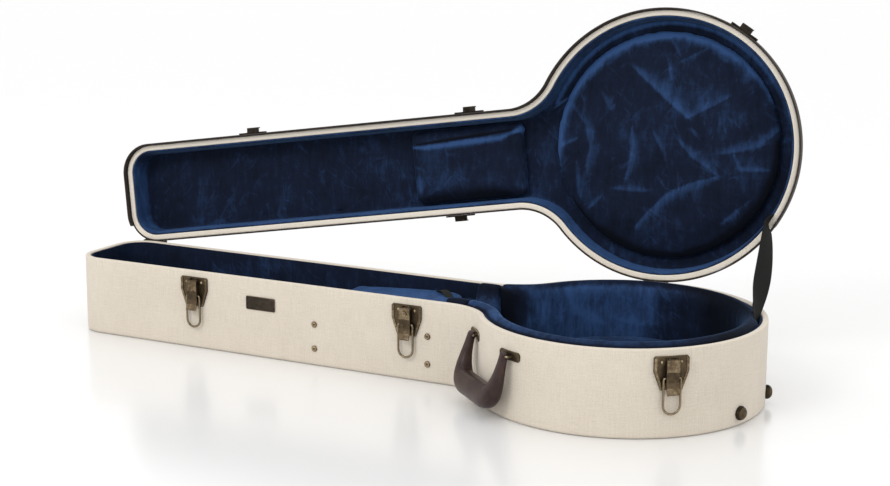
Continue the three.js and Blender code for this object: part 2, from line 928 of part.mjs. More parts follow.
function latchPlate() {
  const waist = baseHeight - 28;
  const footHalfWidth = 14.4;
  const corner = 2;
  const railWidth = 3.4;
  const railProud = 3.2;
  const plateFace = gap + 1.4;
  const backing = 3;
  const edge = [
    [plateHalfWidth - corner, plateTop],
    [plateHalfWidth, plateTop - corner],
    [plateHalfWidth, waist],
    [footHalfWidth, plateFoot],
  ];
  const mirror = (points) =>
    points
      .slice()
      .reverse()
      .map(([x, y]) => [-x, y]);
  const plate = slab([...mirror(edge), ...edge].reverse(), -backing, plateFace);
  const railTop = plateTop - corner;
  const rail = [
    [plateHalfWidth, railTop],
    [plateHalfWidth - railWidth, railTop],
    [plateHalfWidth - railWidth, waist],
    [footHalfWidth - railWidth, plateFoot],
    [footHalfWidth, plateFoot],
    [plateHalfWidth, waist],
  ];
  const lugHalf = 5.8;
  const lugThickness = 1.5;
  const lugRadius = 2.9;
  const bore = cylinder(
    leverPinRadius + gap,
    [-lugHalf - overrun, leverPinHeight, leverPinOut],
    [lugHalf + overrun, leverPinHeight, leverPinOut],
    12,
  );
  let solid = plate
    .add(slab(rail, plateFace - leverSheet, railProud))
    .add(slab(mirror(rail), plateFace - leverSheet, railProud));
  for (const inner of [-lugHalf, lugHalf - lugThickness]) {
    const outer = inner + lugThickness;
    const lug = cylinder(
      lugRadius,
      [inner, leverPinHeight, leverPinOut],
      [outer, leverPinHeight, leverPinOut],
      14,
    ).add(
      block(
        [inner, leverPinHeight - lugRadius, plateFace - leverSheet],
        [outer, leverPinHeight + lugRadius, leverPinOut],
      ),
    );
    solid = solid.add(lug);
  }
  return solid.subtract(bore);
}

function latchLever(keyed) {
  const cheekBack = 2.2;
  const top = baseHeight - 12.3;
  const step = baseHeight - 28.2;
  const grip = baseHeight - 41.3;
  const stepIn = 1;
  const tongueFoot = baseHeight - 57;
  const tongueOut = 12.6;
  const neckRound = 2.6;
  const face = leverFace - stepIn;
  const outer = [
    [cheekBack, leverPinHeight],
    [leverFace, leverPinHeight],
    [leverFace, step],
    [face, step - stepIn],
    [face, grip],
    [face + stepIn, grip - 7 * stepIn],
    [tongueOut, tongueFoot],
    [tongueOut - leverSheet, tongueFoot],
    [face - leverSheet / 2, grip - 7 * stepIn],
    [face - leverSheet, grip - stepIn],
    [cheekBack, grip],
  ].reverse();
  const inner = [
    [-overrun, top + overrun],
    [leverFace - leverSheet, top + overrun],
    [leverFace - leverSheet, step],
    [face - leverSheet, step - stepIn],
    [face - leverSheet, grip + leverSheet],
    [-overrun, grip + leverSheet],
  ].reverse();
  const eye = cylinder(
    neckRound,
    [-leverHalfWidth, leverPinHeight, leverPinOut],
    [leverHalfWidth, leverPinHeight, leverPinOut],
    16,
  );
  const brow = block(
    [-leverHalfWidth, leverPinHeight - stepIn, leverFace - leverSheet],
    [leverHalfWidth, top, leverFace],
  );
  const bridge = block(
    [-leverHalfWidth, leverPinHeight - stepIn, leverPinOut],
    [leverHalfWidth, leverPinHeight, leverFace],
  );
  const throughX = (radius, height, out) =>
    cylinder(
      radius,
      [-leverHalfWidth - overrun, height, out],
      [leverHalfWidth + overrun, height, out],
      12,
    );
  let lever = crossSlab(outer, leverHalfWidth)
    .add(eye)
    .add(brow)
    .add(bridge)
    .subtract(crossSlab(inner, leverHalfWidth - leverSheet))
    .subtract(throughX(leverPinRadius + gap, leverPinHeight, leverPinOut))
    .subtract(throughX(bailWire + gap, bailHeight, bailOut));
  if (keyed) {
    const hole = cylinder(
      keyRadius + gap,
      [0, keyHeight, leverFace - overrun],
      [0, keyHeight, leverFace + overrun],
      20,
    );
    lever = lever.subtract(hole);
  }
  return lever;
}

function keyCylinder() {
  const proud = 1.2;
  const slotHalfWidth = 0.6;
  const slotDepth = 1;
  const inner = leverFace - leverSheet - gap;
  const slotHalf = keyRadius * 0.7;
  const barrel = cylinder(keyRadius, [0, keyHeight, inner], [0, keyHeight, leverFace + proud], 20);
  const slot = block(
    [-slotHalfWidth, keyHeight - slotHalf, leverFace + proud - slotDepth],
    [slotHalfWidth, keyHeight + slotHalf, leverFace + proud + overrun],
  );
  return barrel.subtract(slot);
}

// A wire of round section along points that lie in the X-Y plane at one distance out.
function wire(points, radius, out, sides) {
  const rings = points.map((point, index) => {
    const before = points[Math.max(index - 1, 0)];
    const after = points[Math.min(index + 1, points.length - 1)];
    const ahead = after.clone().sub(before).normalize();
    const across = new THREE.Vector3(ahead.y, -ahead.x, 0);
    const outward = new THREE.Vector3(0, 0, 1);
    return Array.from({ length: sides }, (_, side) => {
      const angle = (2 * Math.PI * side) / sides;
      return new THREE.Vector3(point.x, point.y, out)
        .addScaledVector(across, radius * Math.cos(angle))
        .addScaledVector(outward, -radius * Math.sin(angle));
    });
  });
  return sweep(rings);
}

function latchBail() {
  const endX = leverHalfWidth - leverSheet / 2;
  const elbow = 2.2;
  const loopCentre = bailFoot + bailHalfWidth;
  const loop = arc(new THREE.Vector2(0, loopCentre), bailHalfWidth, 0, -Math.PI, 10);
  const side = [
    new THREE.Vector2(endX, bailHeight),
    new THREE.Vector2(bailHalfWidth - elbow / 3, bailHeight - elbow / 6),
    new THREE.Vector2(bailHalfWidth, bailHeight - elbow),
  ];
  const otherSide = side
    .slice()
    .reverse()
    .map((point) => new THREE.Vector2(-point.x, point.y));
  return wire([...side, ...loop, ...otherSide], bailWire, bailOut, 8);
}

function strike(faceProud) {
  const halfLength = 22;
  const foot = rimHeight + 0.9;
  const top = lipTop - 0.3;
  const backing = 3;
  const corner = 2;
  const plateFace = faceProud + gap + 2;
  const hookHalfWidth = 9;
  const hookReach = plateFace + 7.3;
  const hookFoot = foot + 1.5;
  const hookShelf = hookFoot + 7;
  const hookTop = hookShelf + 4.5;
  const hookTip = 1.6;
  const plate = slab(
    [
      [-halfLength, foot],
      [halfLength, foot],
      [halfLength, top - corner],
      [halfLength - corner, top],
      [corner - halfLength, top],
      [-halfLength, top - corner],
    ],
    -backing,
    plateFace,
  );
  const hook = crossSlab(
    [
      [plateFace - hookTip, hookFoot],
      [hookReach, hookFoot + hookTip],
      [hookReach, hookTop],
      [hookReach - hookTip, hookTop],
      [hookReach - hookTip, hookShelf],
      [plateFace - hookTip, hookShelf],
    ],
    hookHalfWidth,
  );
  return plate.add(hook);
}

function addLatches() {
  const edgeProud = { neck: lipProud, middle: lipProud, body: lipProud, back: bindingProud };
  for (const [name, place] of Object.entries(latchPlaces)) {
    const seat = onWall(place);
    const keyed = name === "middle";
    addPart(`latch_plate_${name}`, moved(latchPlate(), seat).subtract(wallSpace), "brass");
    const pinHalf = leverHalfWidth - gap;
    const pin = cylinder(
      leverPinRadius,
      [-pinHalf, leverPinHeight, leverPinOut],
      [pinHalf, leverPinHeight, leverPinOut],
      12,
    );
    addPart(`lever_pin_${name}`, moved(pin, seat), "brass");
    addPart(`latch_lever_${name}`, moved(latchLever(keyed), seat), "brass");
    if (keyed) addPart("key_cylinder", moved(keyCylinder(), seat), "brass");
    addPart(`latch_bail_${name}`, moved(latchBail(), seat), "brass");

    const edgeSpace = loft([
      [edgeProud[name] + gap, baseHeight - overrun],
      [edgeProud[name] + gap, baseHeight + lidHeight],
    ]);
    const hook = moved(strike(edgeProud[name]), seat).subtract(edgeSpace);
    addLidPart(`strike_${name}`, hook, "brass");
  }
}

// The carrying handle hangs from two brackets on either side of the front junction.

const handleHeight = baseHeight - 28.5;
const handleStandOff = 8.5;
const handleLean = degToRad(15);
const bracketPlaces = {
  neck: junctionWall(degToRad(5.3)),
  body: bodyWall(degToRad(-115)),
};
const handleChord = bracketPlaces.body.point.clone().sub(bracketPlaces.neck.point);
const handleSpan = handleChord.length();
const handleAlong = handleChord.clone().normalize();
const handleOut = new THREE.Vector3(handleAlong.y, -handleAlong.x, 0);
const handleMiddle = bracketPlaces.neck.point
  .clone()
  .addScaledVector(handleChord, 0.5)
  .addScaledVector(handleOut, handleStandOff)
  .setZ(handleHeight);
const handleHang = up
  .clone()
  .multiplyScalar(-Math.cos(handleLean))
  .addScaledVector(handleOut, Math.sin(handleLean));
const handleFace = new THREE.Vector3().crossVectors(handleAlong, handleHang).negate();
const handleFrame = new THREE.Matrix4()
  .makeBasis(handleAlong, handleHang.clone().negate(), handleFace)
  .setPosition(handleMiddle);
const ringWire = 1.9;
const ringHalfWidth = 8.2;

function addHandle() {
  const plateHalfWidth = 20;
  const plateHalfHeight = 6.2;
  const plateCorner = 3;
  const plateFace = gap + 1.6;
  const backing = 5;
  for (const [name, place] of Object.entries(bracketPlaces)) {
    const seat = onWall(place).multiply(new THREE.Matrix4().makeTranslation(0, handleHeight, 0));
    const across = plateHalfWidth - plateCorner;
    const tall = plateHalfHeight - plateCorner;
    const plate = slab(
      [
        [-plateHalfWidth, -tall],
        [-across, -plateHalfHeight],
        [across, -plateHalfHeight],
        [plateHalfWidth, -tall],
        [plateHalfWidth, tall],
        [across, plateHalfHeight],
        [-across, plateHalfHeight],
        [-plateHalfWidth, tall],
      ],
      -backing,
      backing,
    );
    const side = name === "neck" ? -1 : 1;
    const offset = (side * handleSpan) / 2;
    const bracket = moved(plate, seat).intersect(wallSleeve(plateFace));
    addPart(`handle_bracket_${name}`, bracket, "brass");
    addPart(`handle_ring_${name}`, handleRing(offset, plateFace), "brass");
  }
  addPart("handle_grip", handleGrip(), "leather");
}

// The handle's frame before it leans, for what stays on the wall.
const uprightHandleFrame = new THREE.Matrix4()
  .makeBasis(handleAlong, up, handleOut)
  .setPosition(handleMiddle);

// A bent wire that stands on the plate: the grip's end turns on its straight bar.
function handleRing(offset, plateFace) {
  const corner = 2.5;
  const quarter = Math.PI / 2;
  const right = ringHalfWidth - corner;
  const foot = -2 * handleStandOff;
  const path = [
    new THREE.Vector2(ringHalfWidth, foot),
    ...arc(new THREE.Vector2(right, -corner), corner, 0, quarter, 4),
    ...arc(new THREE.Vector2(-right, -corner), corner, quarter, 2 * quarter, 4),
    new THREE.Vector2(-ringHalfWidth, foot),
  ].map((point) => new THREE.Vector2(point.x + offset, point.y));
  const outward = new THREE.Matrix4().makeRotationX(quarter);
  const ring = moved(wire(path, ringWire, 0, 8), uprightHandleFrame.clone().multiply(outward));
  const behind = loft([
    [plateFace + gap, -overrun],
    [plateFace + gap, baseHeight + overrun],
  ]);
  return ring.subtract(behind);
}

function handleGrip() {
  const half = handleSpan / 2;
  const gripDepth = 56;
  const curveLength = 42;
  const tipWidth = 11;
  // Places along half of the grip: across and down as lengths, then its width and thickness.
  const stations = [
    { across: half, down: -4.8, width: tipWidth, thickness: 3.6 },
    { across: half, down: -3.6, width: tipWidth, thickness: 7 },
    { across: half, down: -1.6, width: tipWidth, thickness: 9.2 },
    { across: half, down: 1.6, width: tipWidth, thickness: 9.8 },
    { across: half, down: 13, width: 11.8, thickness: 9.8 },
    { across: half - 1, down: 27, width: 14, thickness: 13 },
    { across: half - 5, down: 40, width: 18, thickness: 18 },
    { across: half - 13, down: 50.5, width: 23, thickness: 22.5 },
    { across: half - 25, down: 55.5, width: 26, thickness: 25 },
    { across: half - curveLength, down: gripDepth, width: 27, thickness: 25.5 },
  ];
  const left = stations.map((station) => ({ ...station, across: -station.across }));
  const right = stations.slice().reverse();
  const all = [...left, ...right];
  const sides = 10;
  const squareness = 0.75;
  const rings = all.map(({ across, down, width, thickness }, index) => {
    const before = all[Math.max(index - 1, 0)];
    const after = all[Math.min(index + 1, all.length - 1)];
    const ahead = new THREE.Vector2(after.across - before.across, before.down - after.down).normalize();
    return Array.from({ length: sides }, (_, side) => {
      const angle = (2 * Math.PI * (side + 0.5)) / sides;
      const wide = Math.sign(Math.cos(angle)) * Math.abs(Math.cos(angle)) ** squareness;
      const thick = Math.sign(Math.sin(angle)) * Math.abs(Math.sin(angle)) ** squareness;
      return new THREE.Vector3(
        across + (ahead.y * wide * width) / 2,
        -down - (ahead.x * wide * width) / 2,
        (-thick * thickness) / 2,
      );
    });
  });
  const grip = moved(sweep(rings), handleFrame);
  const bores = [-half, half].map((offset) =>
    moved(
      cylinder(
        ringWire + gap,
        [offset - tipWidth - overrun, 0, 0],
        [offset + tipWidth + overrun, 0, 0],
        12,
      ),
      handleFrame,
    ),
  );
  return grip.subtract(bores[0]).subtract(bores[1]);
}

// The stay strap's places from the pocket to the lid, each with its middle, width and face.
function strapStations() {
  const baseWall = bodyWall(strapBaseAngle);
  const lidWall = bodyWall(strapLidAngle);
  const rootWall = bodyWall(strapLidAngle + strapLidSlant);
  const mouth = baseWall.point
    .addScaledVector(baseWall.normal, linedGrow - strapSetIn - strapLean)
    .setZ(padTop);
  const onLid = ({ point, normal }, height) =>
    point
      .clone()
      .addScaledVector(normal, -wallThickness - strapSetIn)
      .setZ(height)
      .applyMatrix4(openLid);
  const rim = onLid(lidWall, rimHeight);
  const lidRoot = onLid(rootWall, rimHeight + strapLidDepth);
  const ahead = rim.clone().sub(mouth).normalize();
  const level = hingeAxis.clone().addScaledVector(ahead, -hingeAxis.dot(ahead)).normalize();
  const pocketRoot = mouth.clone().addScaledVector(ahead, -strapPocketReach);
  // Shares of the free length, and how far the strap's width has turned there from the hinge line.
  const turnShares = [
    [0, 84],
    [0.05, 84],
    [0.1, 70],
    [0.15, 60],
    [0.2, 50],
    [0.27, 36],
    [0.34, 27],
    [0.41, 29],
    [0.48, 37],
    [0.55, 44],
    [0.62, 52],
    [0.73, 65],
    [0.82, 75],
    [0.93, 78],
  ];
  const acrossAt = (degrees) => level.clone().applyAxisAngle(ahead, degToRad(degrees));
  const free = turnShares.map(([share, degrees]) => ({
    centre: mouth
      .clone()
      .lerp(rim, share)
      .addScaledVector(hingeAxis, strapBow * Math.sin(Math.PI * share)),
    across: acrossAt(degrees),
    ahead,
  }));
  // On the lid the strap's width lies along the wall.
  const intoLid = up.clone().transformDirection(openLid);
  const alongWall = ({ normal }) =>
    new THREE.Vector3().crossVectors(normal, up).negate().transformDirection(openLid);
  return [
    { centre: pocketRoot, across: acrossAt(97), ahead },
    ...free,
    { centre: rim, across: alongWall(lidWall), ahead: intoLid },
    { centre: lidRoot, across: alongWall(rootWall), ahead: intoLid },
  ];
}

function strapRing({ centre, across, ahead }, grow) {
  const face = new THREE.Vector3().crossVectors(ahead, across).normalize();
  const wide = strapWidth / 2 + grow;
  const thick = strapThickness / 2 + grow;
  const cornerShares = [
    [-1, -1],
    [1, -1],
    [1, 1],
    [-1, 1],
  ];
  return cornerShares.map(([x, y]) =>
    centre.clone().addScaledVector(across, x * wide).addScaledVector(face, y * thick),
  );
}

// The room round some of the strap's places, opened in one direction.
function strapRoom(stations, opening, reach) {
  const end = stations[0];
  const beyond = end.centre.clone().addScaledVector(end.ahead, end.last ? gap : -gap);
  const corners = [...stations, { ...end, centre: beyond }].flatMap((place) => strapRing(place, gap));
  const opened = corners.map((corner) => corner.clone().addScaledVector(opening, reach));
  return wasm.Manifold.hull([...corners, ...opened].map((corner) => corner.toArray()));
}

function strapPocket() {
  const outward = bodyWall(strapBaseAngle).normal;
  return strapRoom(strapStations().slice(0, 5), outward, 2 * strapSetIn);
}

function strapNotch() {
  const inward = bodyWall(strapLidAngle).normal.clone().transformDirection(openLid).negate();
  const places = strapStations().slice(-3).reverse();
  return strapRoom([{ ...places[0], last: true }, ...places.slice(1)], inward, 2 * liningThickness);
}

function addStayStrap() {
  const rings = strapStations().map((station) => strapRing(station, 0));
  addPart("stay_strap", sweep(rings), "webbing");
}

addLowerShell();
addSidePad();
addFloorPad();
addNeckCradle();
addCompartment();
addCompartmentRivets();
addNamePlate();
addTailFeet();
addHinges();
addLidShell();
addLidPads();
addLidEdge();
addLatches();
addHandle();
addStayStrap();

export default group;
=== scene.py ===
import json
import math

import bmesh
import bpy
import numpy as np
from mathutils import Matrix, Quaternion, Vector

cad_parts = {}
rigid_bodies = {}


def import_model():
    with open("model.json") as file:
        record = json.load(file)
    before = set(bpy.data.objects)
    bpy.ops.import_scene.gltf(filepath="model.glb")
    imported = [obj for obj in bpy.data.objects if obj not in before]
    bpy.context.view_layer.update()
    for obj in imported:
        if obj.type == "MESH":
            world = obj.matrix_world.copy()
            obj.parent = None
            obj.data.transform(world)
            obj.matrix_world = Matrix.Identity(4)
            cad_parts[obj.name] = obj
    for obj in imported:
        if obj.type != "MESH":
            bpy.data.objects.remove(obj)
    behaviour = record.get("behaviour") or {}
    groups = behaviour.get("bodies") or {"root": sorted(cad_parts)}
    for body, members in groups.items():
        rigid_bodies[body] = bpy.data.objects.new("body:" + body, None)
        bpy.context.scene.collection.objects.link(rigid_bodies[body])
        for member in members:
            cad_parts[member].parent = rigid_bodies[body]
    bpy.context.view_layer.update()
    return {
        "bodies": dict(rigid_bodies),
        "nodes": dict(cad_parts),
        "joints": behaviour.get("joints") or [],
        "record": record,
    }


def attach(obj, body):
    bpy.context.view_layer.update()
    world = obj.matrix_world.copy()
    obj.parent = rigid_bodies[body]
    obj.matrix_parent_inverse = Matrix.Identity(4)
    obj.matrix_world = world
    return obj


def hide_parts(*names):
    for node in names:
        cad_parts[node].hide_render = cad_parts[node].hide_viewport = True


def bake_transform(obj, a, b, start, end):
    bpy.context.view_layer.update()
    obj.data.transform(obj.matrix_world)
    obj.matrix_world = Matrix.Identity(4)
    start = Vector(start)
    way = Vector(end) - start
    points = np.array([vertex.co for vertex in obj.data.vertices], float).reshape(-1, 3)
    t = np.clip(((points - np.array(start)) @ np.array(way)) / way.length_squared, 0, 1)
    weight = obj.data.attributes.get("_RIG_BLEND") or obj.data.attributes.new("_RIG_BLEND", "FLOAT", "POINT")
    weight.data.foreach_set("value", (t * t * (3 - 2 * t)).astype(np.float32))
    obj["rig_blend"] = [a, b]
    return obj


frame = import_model()
nodes = frame["nodes"]
scene = bpy.context.scene
scene.view_settings.view_transform = "Standard"

# The camera stands where the photograph was taken from.

photoView = {
    "place": (0.8824, -2.1959, 0.7041),
    "forward": (-0.4546, 0.8667, -0.2054),
    "up": (-0.0998, 0.1796, 0.9787),
    "lens": 72.92,
    "sensor": 36,
    "clip": 100,
}


def makeCamera():
    lens = bpy.data.cameras.new("PhotoView")
    lens.lens = photoView["lens"]
    lens.sensor_fit = "HORIZONTAL"
    lens.sensor_width = photoView["sensor"]
    lens.clip_end = photoView["clip"]
    back = -Vector(photoView["forward"]).normalized()
    right = Vector(photoView["up"]).cross(back).normalized()
    turn = Matrix((right, back.cross(right), back)).transposed()
    camera = bpy.data.objects.new("PhotoView", lens)
    camera.matrix_world = Matrix.Translation(photoView["place"]) @ turn.to_4x4()
    scene.collection.objects.link(camera)
    scene.camera = camera


makeCamera()
print("camera in place")

# Materials.


def setNode(tree, kind, inputs=None, **settings):
    made = tree.nodes.new("ShaderNode" + kind)
    for key, value in settings.items():
        setattr(made, key, value)
    for key, value in (inputs or {}).items():
        socket = made.inputs[key]
        if isinstance(value, bpy.types.NodeSocket):
            tree.links.new(value, socket)
        else:
            socket.default_value = value
    return made


def newFinish(name, **sockets):
    material = bpy.data.materials.new(name)
    material.use_nodes = True
    tree = material.node_tree
    shader = tree.nodes["Principled BSDF"]
    for key, value in sockets.items():
        shader.inputs[key.replace("_", " ")].default_value = value
    return material, tree, shader


def paint(tree, shader, value, stops):
    # Colours the shader by a value that rises through the stops.
    made = setNode(tree, "ValToRGB", {"Fac": value})
    band = made.color_ramp
    while len(band.elements) < len(stops):
        band.elements.new(0.5)
    for element, (place, colour) in zip(band.elements, stops):
        element.position = place
        element.color = (*colour, 1)
    tree.links.new(made.outputs["Color"], shader.inputs["Base Color"])


def mathNode(tree, operation, first, second=0.5, third=0.5):
    made = setNode(tree, "Math", {0: first, 1: second, 2: third}, operation=operation)
    return made.outputs[0]


def meanOf(tree, first, second):
    return mathNode(tree, "MULTIPLY", mathNode(tree, "ADD", first, second), 0.5)


def blended(tree, shares, values):
    # The sum of some values, each times its share.
    total = 0.0
    for key, share in shares.items():
        total = mathNode(tree, "MULTIPLY_ADD", values[key], share, total)
    return total


def noiseNode(tree, vector, scale, detail, rough):
    # A scale of three numbers stretches the noise.
    if isinstance(scale, tuple):
        stretch = setNode(tree, "Mapping", {"Vector": vector, "Scale": scale})
        vector = stretch.outputs["Vector"]
        scale = 1
    made = setNode(
        tree,
        "TexNoise",
        {"Vector": vector, "Scale": scale, "Detail": detail, "Roughness": rough},
    )
    return made.outputs["Fac"]


def noises(tree, vector, look):
    return {key: noiseNode(tree, vector, *noise) for key, noise in look["noises"].items()}


# A wave texture of this scale repeats once in every unit of its coordinates.

waveScale = 0.3142


def threads(tree, cloth, thread, direction, wave=None):
    inputs = {"Vector": cloth, "Scale": waveScale / thread, **(wave or {})}
    return setNode(tree, "TexWave", inputs, bands_direction=direction).outputs["Fac"]


def attribute(tree, name):
    return setNode(tree, "Attribute", attribute_name=name).outputs["Fac"]


def bump(tree, shader, height, distance, strength):
    made = setNode(
        tree, "Bump", {"Height": height, "Distance": distance, "Strength": strength}
    )
    tree.links.new(made.outputs["Normal"], shader.inputs["Normal"])


linen = {
    "thread": 0.00115,
    "wave": {"Distortion": 1.2, "Detail": 2, "Detail Scale": 0.6},
    "stops": [(0.27, (0.42, 0.365, 0.29)), (0.48, (0.61, 0.545, 0.455)), (0.7, (0.74, 0.68, 0.59))],
    "noises": {
        "warp": ((850, 34, 1), 4, 0.65),
        "weft": ((40, 900, 1), 4, 0.65),
        "fleck": (520, 2, 0.7),
        "cloud": (9, 3, 0.6),
    },
    "shares": {"yarn": 0.5, "fleck": 0.3, "weave": 0.06, "cloud": 0.14},
    "yarnHeight": 1.3,
    "relief": (0.00026, 0.45),
}


def makeLinen(name, look):
    # Yarns run along both directions of the cloth's own map, with slubs and flecks.
    material, tree, shader = newFinish(
        name, Roughness=0.9, Sheen_Weight=0.15, Specular_IOR_Level=0.25
    )
    cloth = setNode(tree, "UVMap", uv_map="Cloth").outputs["UV"]
    waves = [threads(tree, cloth, look["thread"], direction, look["wave"]) for direction in "XY"]
    values = noises(tree, cloth, look)
    values["yarn"] = meanOf(tree, values["warp"], values["weft"])
    values["weave"] = meanOf(tree, *waves)
    tone = blended(tree, look["shares"], values)
    paint(tree, shader, mathNode(tree, "ADD", tone, attribute(tree, "pale")), look["stops"])
    height = mathNode(tree, "MULTIPLY_ADD", values["yarn"], look["yarnHeight"], values["weave"])
    bump(tree, shader, height, *look["relief"])
    return material


velvet = {
    "stops": [
        (0.3, (0.0014, 0.0027, 0.0068)),
        (0.53, (0.0048, 0.0098, 0.0265)),
        (0.98, (0.027, 0.068, 0.18)),
    ],
    "tint": (0.26, 0.5, 1.0, 1),
    "noises": {
        "lean": (15, 5, 0.62),
        "streak": ((120, 120, 26), 3, 0.7),
        "scuff": ((30, 30, 150), 4, 0.75),
        "pile": (1100, 2, 0.6),
    },
    "shares": {"lean": 0.5, "streak": 0.3, "scuff": 0.12, "pile": 0.1, "lines": 0.1},
    "lines": [
        ((0.1, 0.55, 0.3), (0.11, 0.11, 0.028), 36.0),
        ((0.1, -0.85, 0.3), (0.09, 0.09, 0.03), 34.0),
        ((0.1, 1.25, 0.3), (0.1, 0.1, 0.026), 40.0),
    ],
    "breakUp": (1.2, 0.4),
    "streakHeight": 2.0,
    "relief": (0.0005, 0.45),
}
hairline = {"path": (1, 2, 0.5), "patch": (2.3, 2, 0.5), "least": 0.53, "crisp": 7.0}


def hairlines(tree, place, turn, scale, thin):
    # Thin curved strokes where a stretched noise passes its middle, kept only in some patches.
    settings = {"Vector": place, "Rotation": turn, "Scale": scale}
    turned = setNode(tree, "Mapping", settings, vector_type="TEXTURE").outputs["Vector"]
    path = noiseNode(tree, turned, *hairline["path"])
    off = mathNode(tree, "ABSOLUTE", mathNode(tree, "SUBTRACT", path, 0.5))
    line = mathNode(tree, "SUBTRACT", 1.0, mathNode(tree, "MULTIPLY", off, thin))
    patch = noiseNode(tree, turned, *hairline["patch"])
    above = mathNode(tree, "SUBTRACT", patch, hairline["least"])
    kept = mathNode(tree, "MULTIPLY", above, hairline["crisp"])
    made = setNode(tree, "Clamp", {"Value": mathNode(tree, "MINIMUM", line, kept)})
    return made.outputs[0]


def makeVelvet(name, look, lift=0.0):
    # The pile leans in patches, and the piece's own attribute holds its crush marks together with painted
    # highlights and painted shade.
    material, tree, shader = newFinish(
        name,
        Roughness=0.8,
        Sheen_Weight=0.22,
        Sheen_Roughness=0.3,
        Sheen_Tint=look["tint"],
        Specular_IOR_Level=0.1,
    )
    place = setNode(tree, "TexCoord").outputs["Object"]
    values = noises(tree, place, look)
    # Streaks break the marks up, so that no stroke is even along its length.
    breakUp = mathNode(tree, "MULTIPLY_ADD", values["streak"], *look["breakUp"])
    marks = mathNode(tree, "MULTIPLY", attribute(tree, "crushAndPaintedLight"), breakUp)
    values["lines"] = 0.0
    for line in look["lines"]:
        values["lines"] = mathNode(tree, "MAXIMUM", values["lines"], hairlines(tree, place, *line))
    tone = mathNode(tree, "ADD", blended(tree, look["shares"], values), lift)
    paint(tree, shader, mathNode(tree, "ADD", tone, marks), look["stops"])
    height = mathNode(tree, "MULTIPLY_ADD", values["streak"], look["streakHeight"], values["pile"])
    bump(tree, shader, height, *look["relief"])
    return material


metal = {
    "noises": {"patina": (260, 4, 0.65), "blotch": (45, 3, 0.6)},
    "shares": {"patina": 0.34, "blotch": 0.34},
    "lift": 0.14,
    "tones": (0.2, 0.8),
    "polish": 0.15,
    "relief": (0.0002, 0.3),
}


def makeMetal(name, look, stops, roughness=0.42):
    # The attribute holds painted light and shade: painted highlights on eased edges, painted shade on sides
    # and recesses.
    material, tree, shader = newFinish(name, Metallic=0.92)
    place = setNode(tree, "TexCoord").outputs["Object"]
    values = noises(tree, place, look)
    wear = mathNode(tree, "ADD", attribute(tree, "wear"), look["lift"])
    tone = mathNode(tree, "ADD", blended(tree, look["shares"], values), wear)
    paint(tree, shader, tone, stops)
    limits = {
        "Value": tone,
        "From Min": look["tones"][0],
        "From Max": look["tones"][1],
        "To Min": roughness + look["polish"],
        "To Max": roughness - look["polish"],
    }
    shine = setNode(tree, "MapRange", limits).outputs["Result"]
    tree.links.new(shine, shader.inputs["Roughness"])
    bump(tree, shader, values["patina"], *look["relief"])
    return material


hide = {"mottle": (55, 4, 0.6), "places": (0.35, 0.68), "mottleHeight": 0.5, "strength": 0.6}


def makeHide(name, dark, light, roughness, grain, depth):
    # Leather and leathercloth: small cells of grain over slow changes of tone.
    material, tree, shader = newFinish(name, Roughness=roughness, Specular_IOR_Level=0.25)
    place = setNode(tree, "TexCoord").outputs["Object"]
    cells = setNode(
        tree, "TexVoronoi", {"Vector": place, "Scale": grain, "Randomness": 0.9}
    ).outputs["Distance"]
    tone = noiseNode(tree, place, *hide["mottle"])
    paint(tree, shader, tone, list(zip(hide["places"], (dark, light))))
    height = mathNode(tree, "MULTIPLY_ADD", tone, hide["mottleHeight"], cells)
    bump(tree, shader, height, depth, hide["strength"])
    return material


webbing = {
    "pickWidth": 1.25,
    "pickDepth": 0.5,
    "fibres": (300, 3, 0.5),
    "fibreShare": 0.4,
    "places": (0.2, 0.9),
    "relief": (0.0003, 0.7),
}


def makeWebbing(name, dark, light, thread):
    # Ribs along the band, crossed by picks.
    material, tree, shader = newFinish(name, Roughness=0.85, Specular_IOR_Level=0.2)
    cloth = setNode(tree, "UVMap", uv_map="Cloth").outputs["UV"]
    ribs = threads(tree, cloth, thread, "X")
    picks = threads(tree, cloth, thread * webbing["pickWidth"], "Y")
    depth = webbing["pickDepth"]
    crossed = mathNode(tree, "MULTIPLY_ADD", picks, depth, 1 - depth)
    weave = mathNode(tree, "MULTIPLY", ribs, crossed)
    fibres = noiseNode(tree, cloth, *webbing["fibres"])
    tone = mathNode(tree, "MULTIPLY_ADD", fibres, webbing["fibreShare"], weave)
    paint(tree, shader, tone, list(zip(webbing["places"], (dark, light))))
    bump(tree, shader, weave, *webbing["relief"])
    return material


finishes = {
    "linen": makeLinen("LinenCloth", linen),
    "velvet": makeVelvet("BluePlush", velvet),
    # A copy of the plush painted lighter, for the compartment lid's top where it faces the light.
    "velvetPaintedLit": makeVelvet("BluePlushPaintedLit", velvet, 0.1),
    "binding": makeHide(
        "BrownEdge", (0.017, 0.0115, 0.009), (0.038, 0.028, 0.023), 0.55, 900, 0.0002
    ),
    "brass": makeMetal(
        "AgedBrass",
        metal,
        [(0.2, (0.012, 0.009, 0.006)), (0.5, (0.115, 0.082, 0.048)), (0.8, (0.56, 0.44, 0.275))],
    ),
    "bronze": makeMetal(
        "DarkBronze",
        metal,
        [(0.2, (0.01, 0.008, 0.006)), (0.5, (0.062, 0.048, 0.036)), (0.8, (0.27, 0.21, 0.15))],
        0.5,
    ),
    "leather": makeHide(
        "BrownLeather", (0.018, 0.0075, 0.0065), (0.041, 0.021, 0.0175), 0.33, 700, 0.00016
    ),
    "webbing": makeWebbing("BlackWebbing", (0.002, 0.002, 0.0018), (0.012, 0.0115, 0.0105), 0.0016),
    "tab": makeWebbing("OliveRibbon", (0.012, 0.013, 0.011), (0.04, 0.04, 0.03), 0.001),
}
print("finishes made")

# The outline that the shells and linings share, as in the model's plan view.

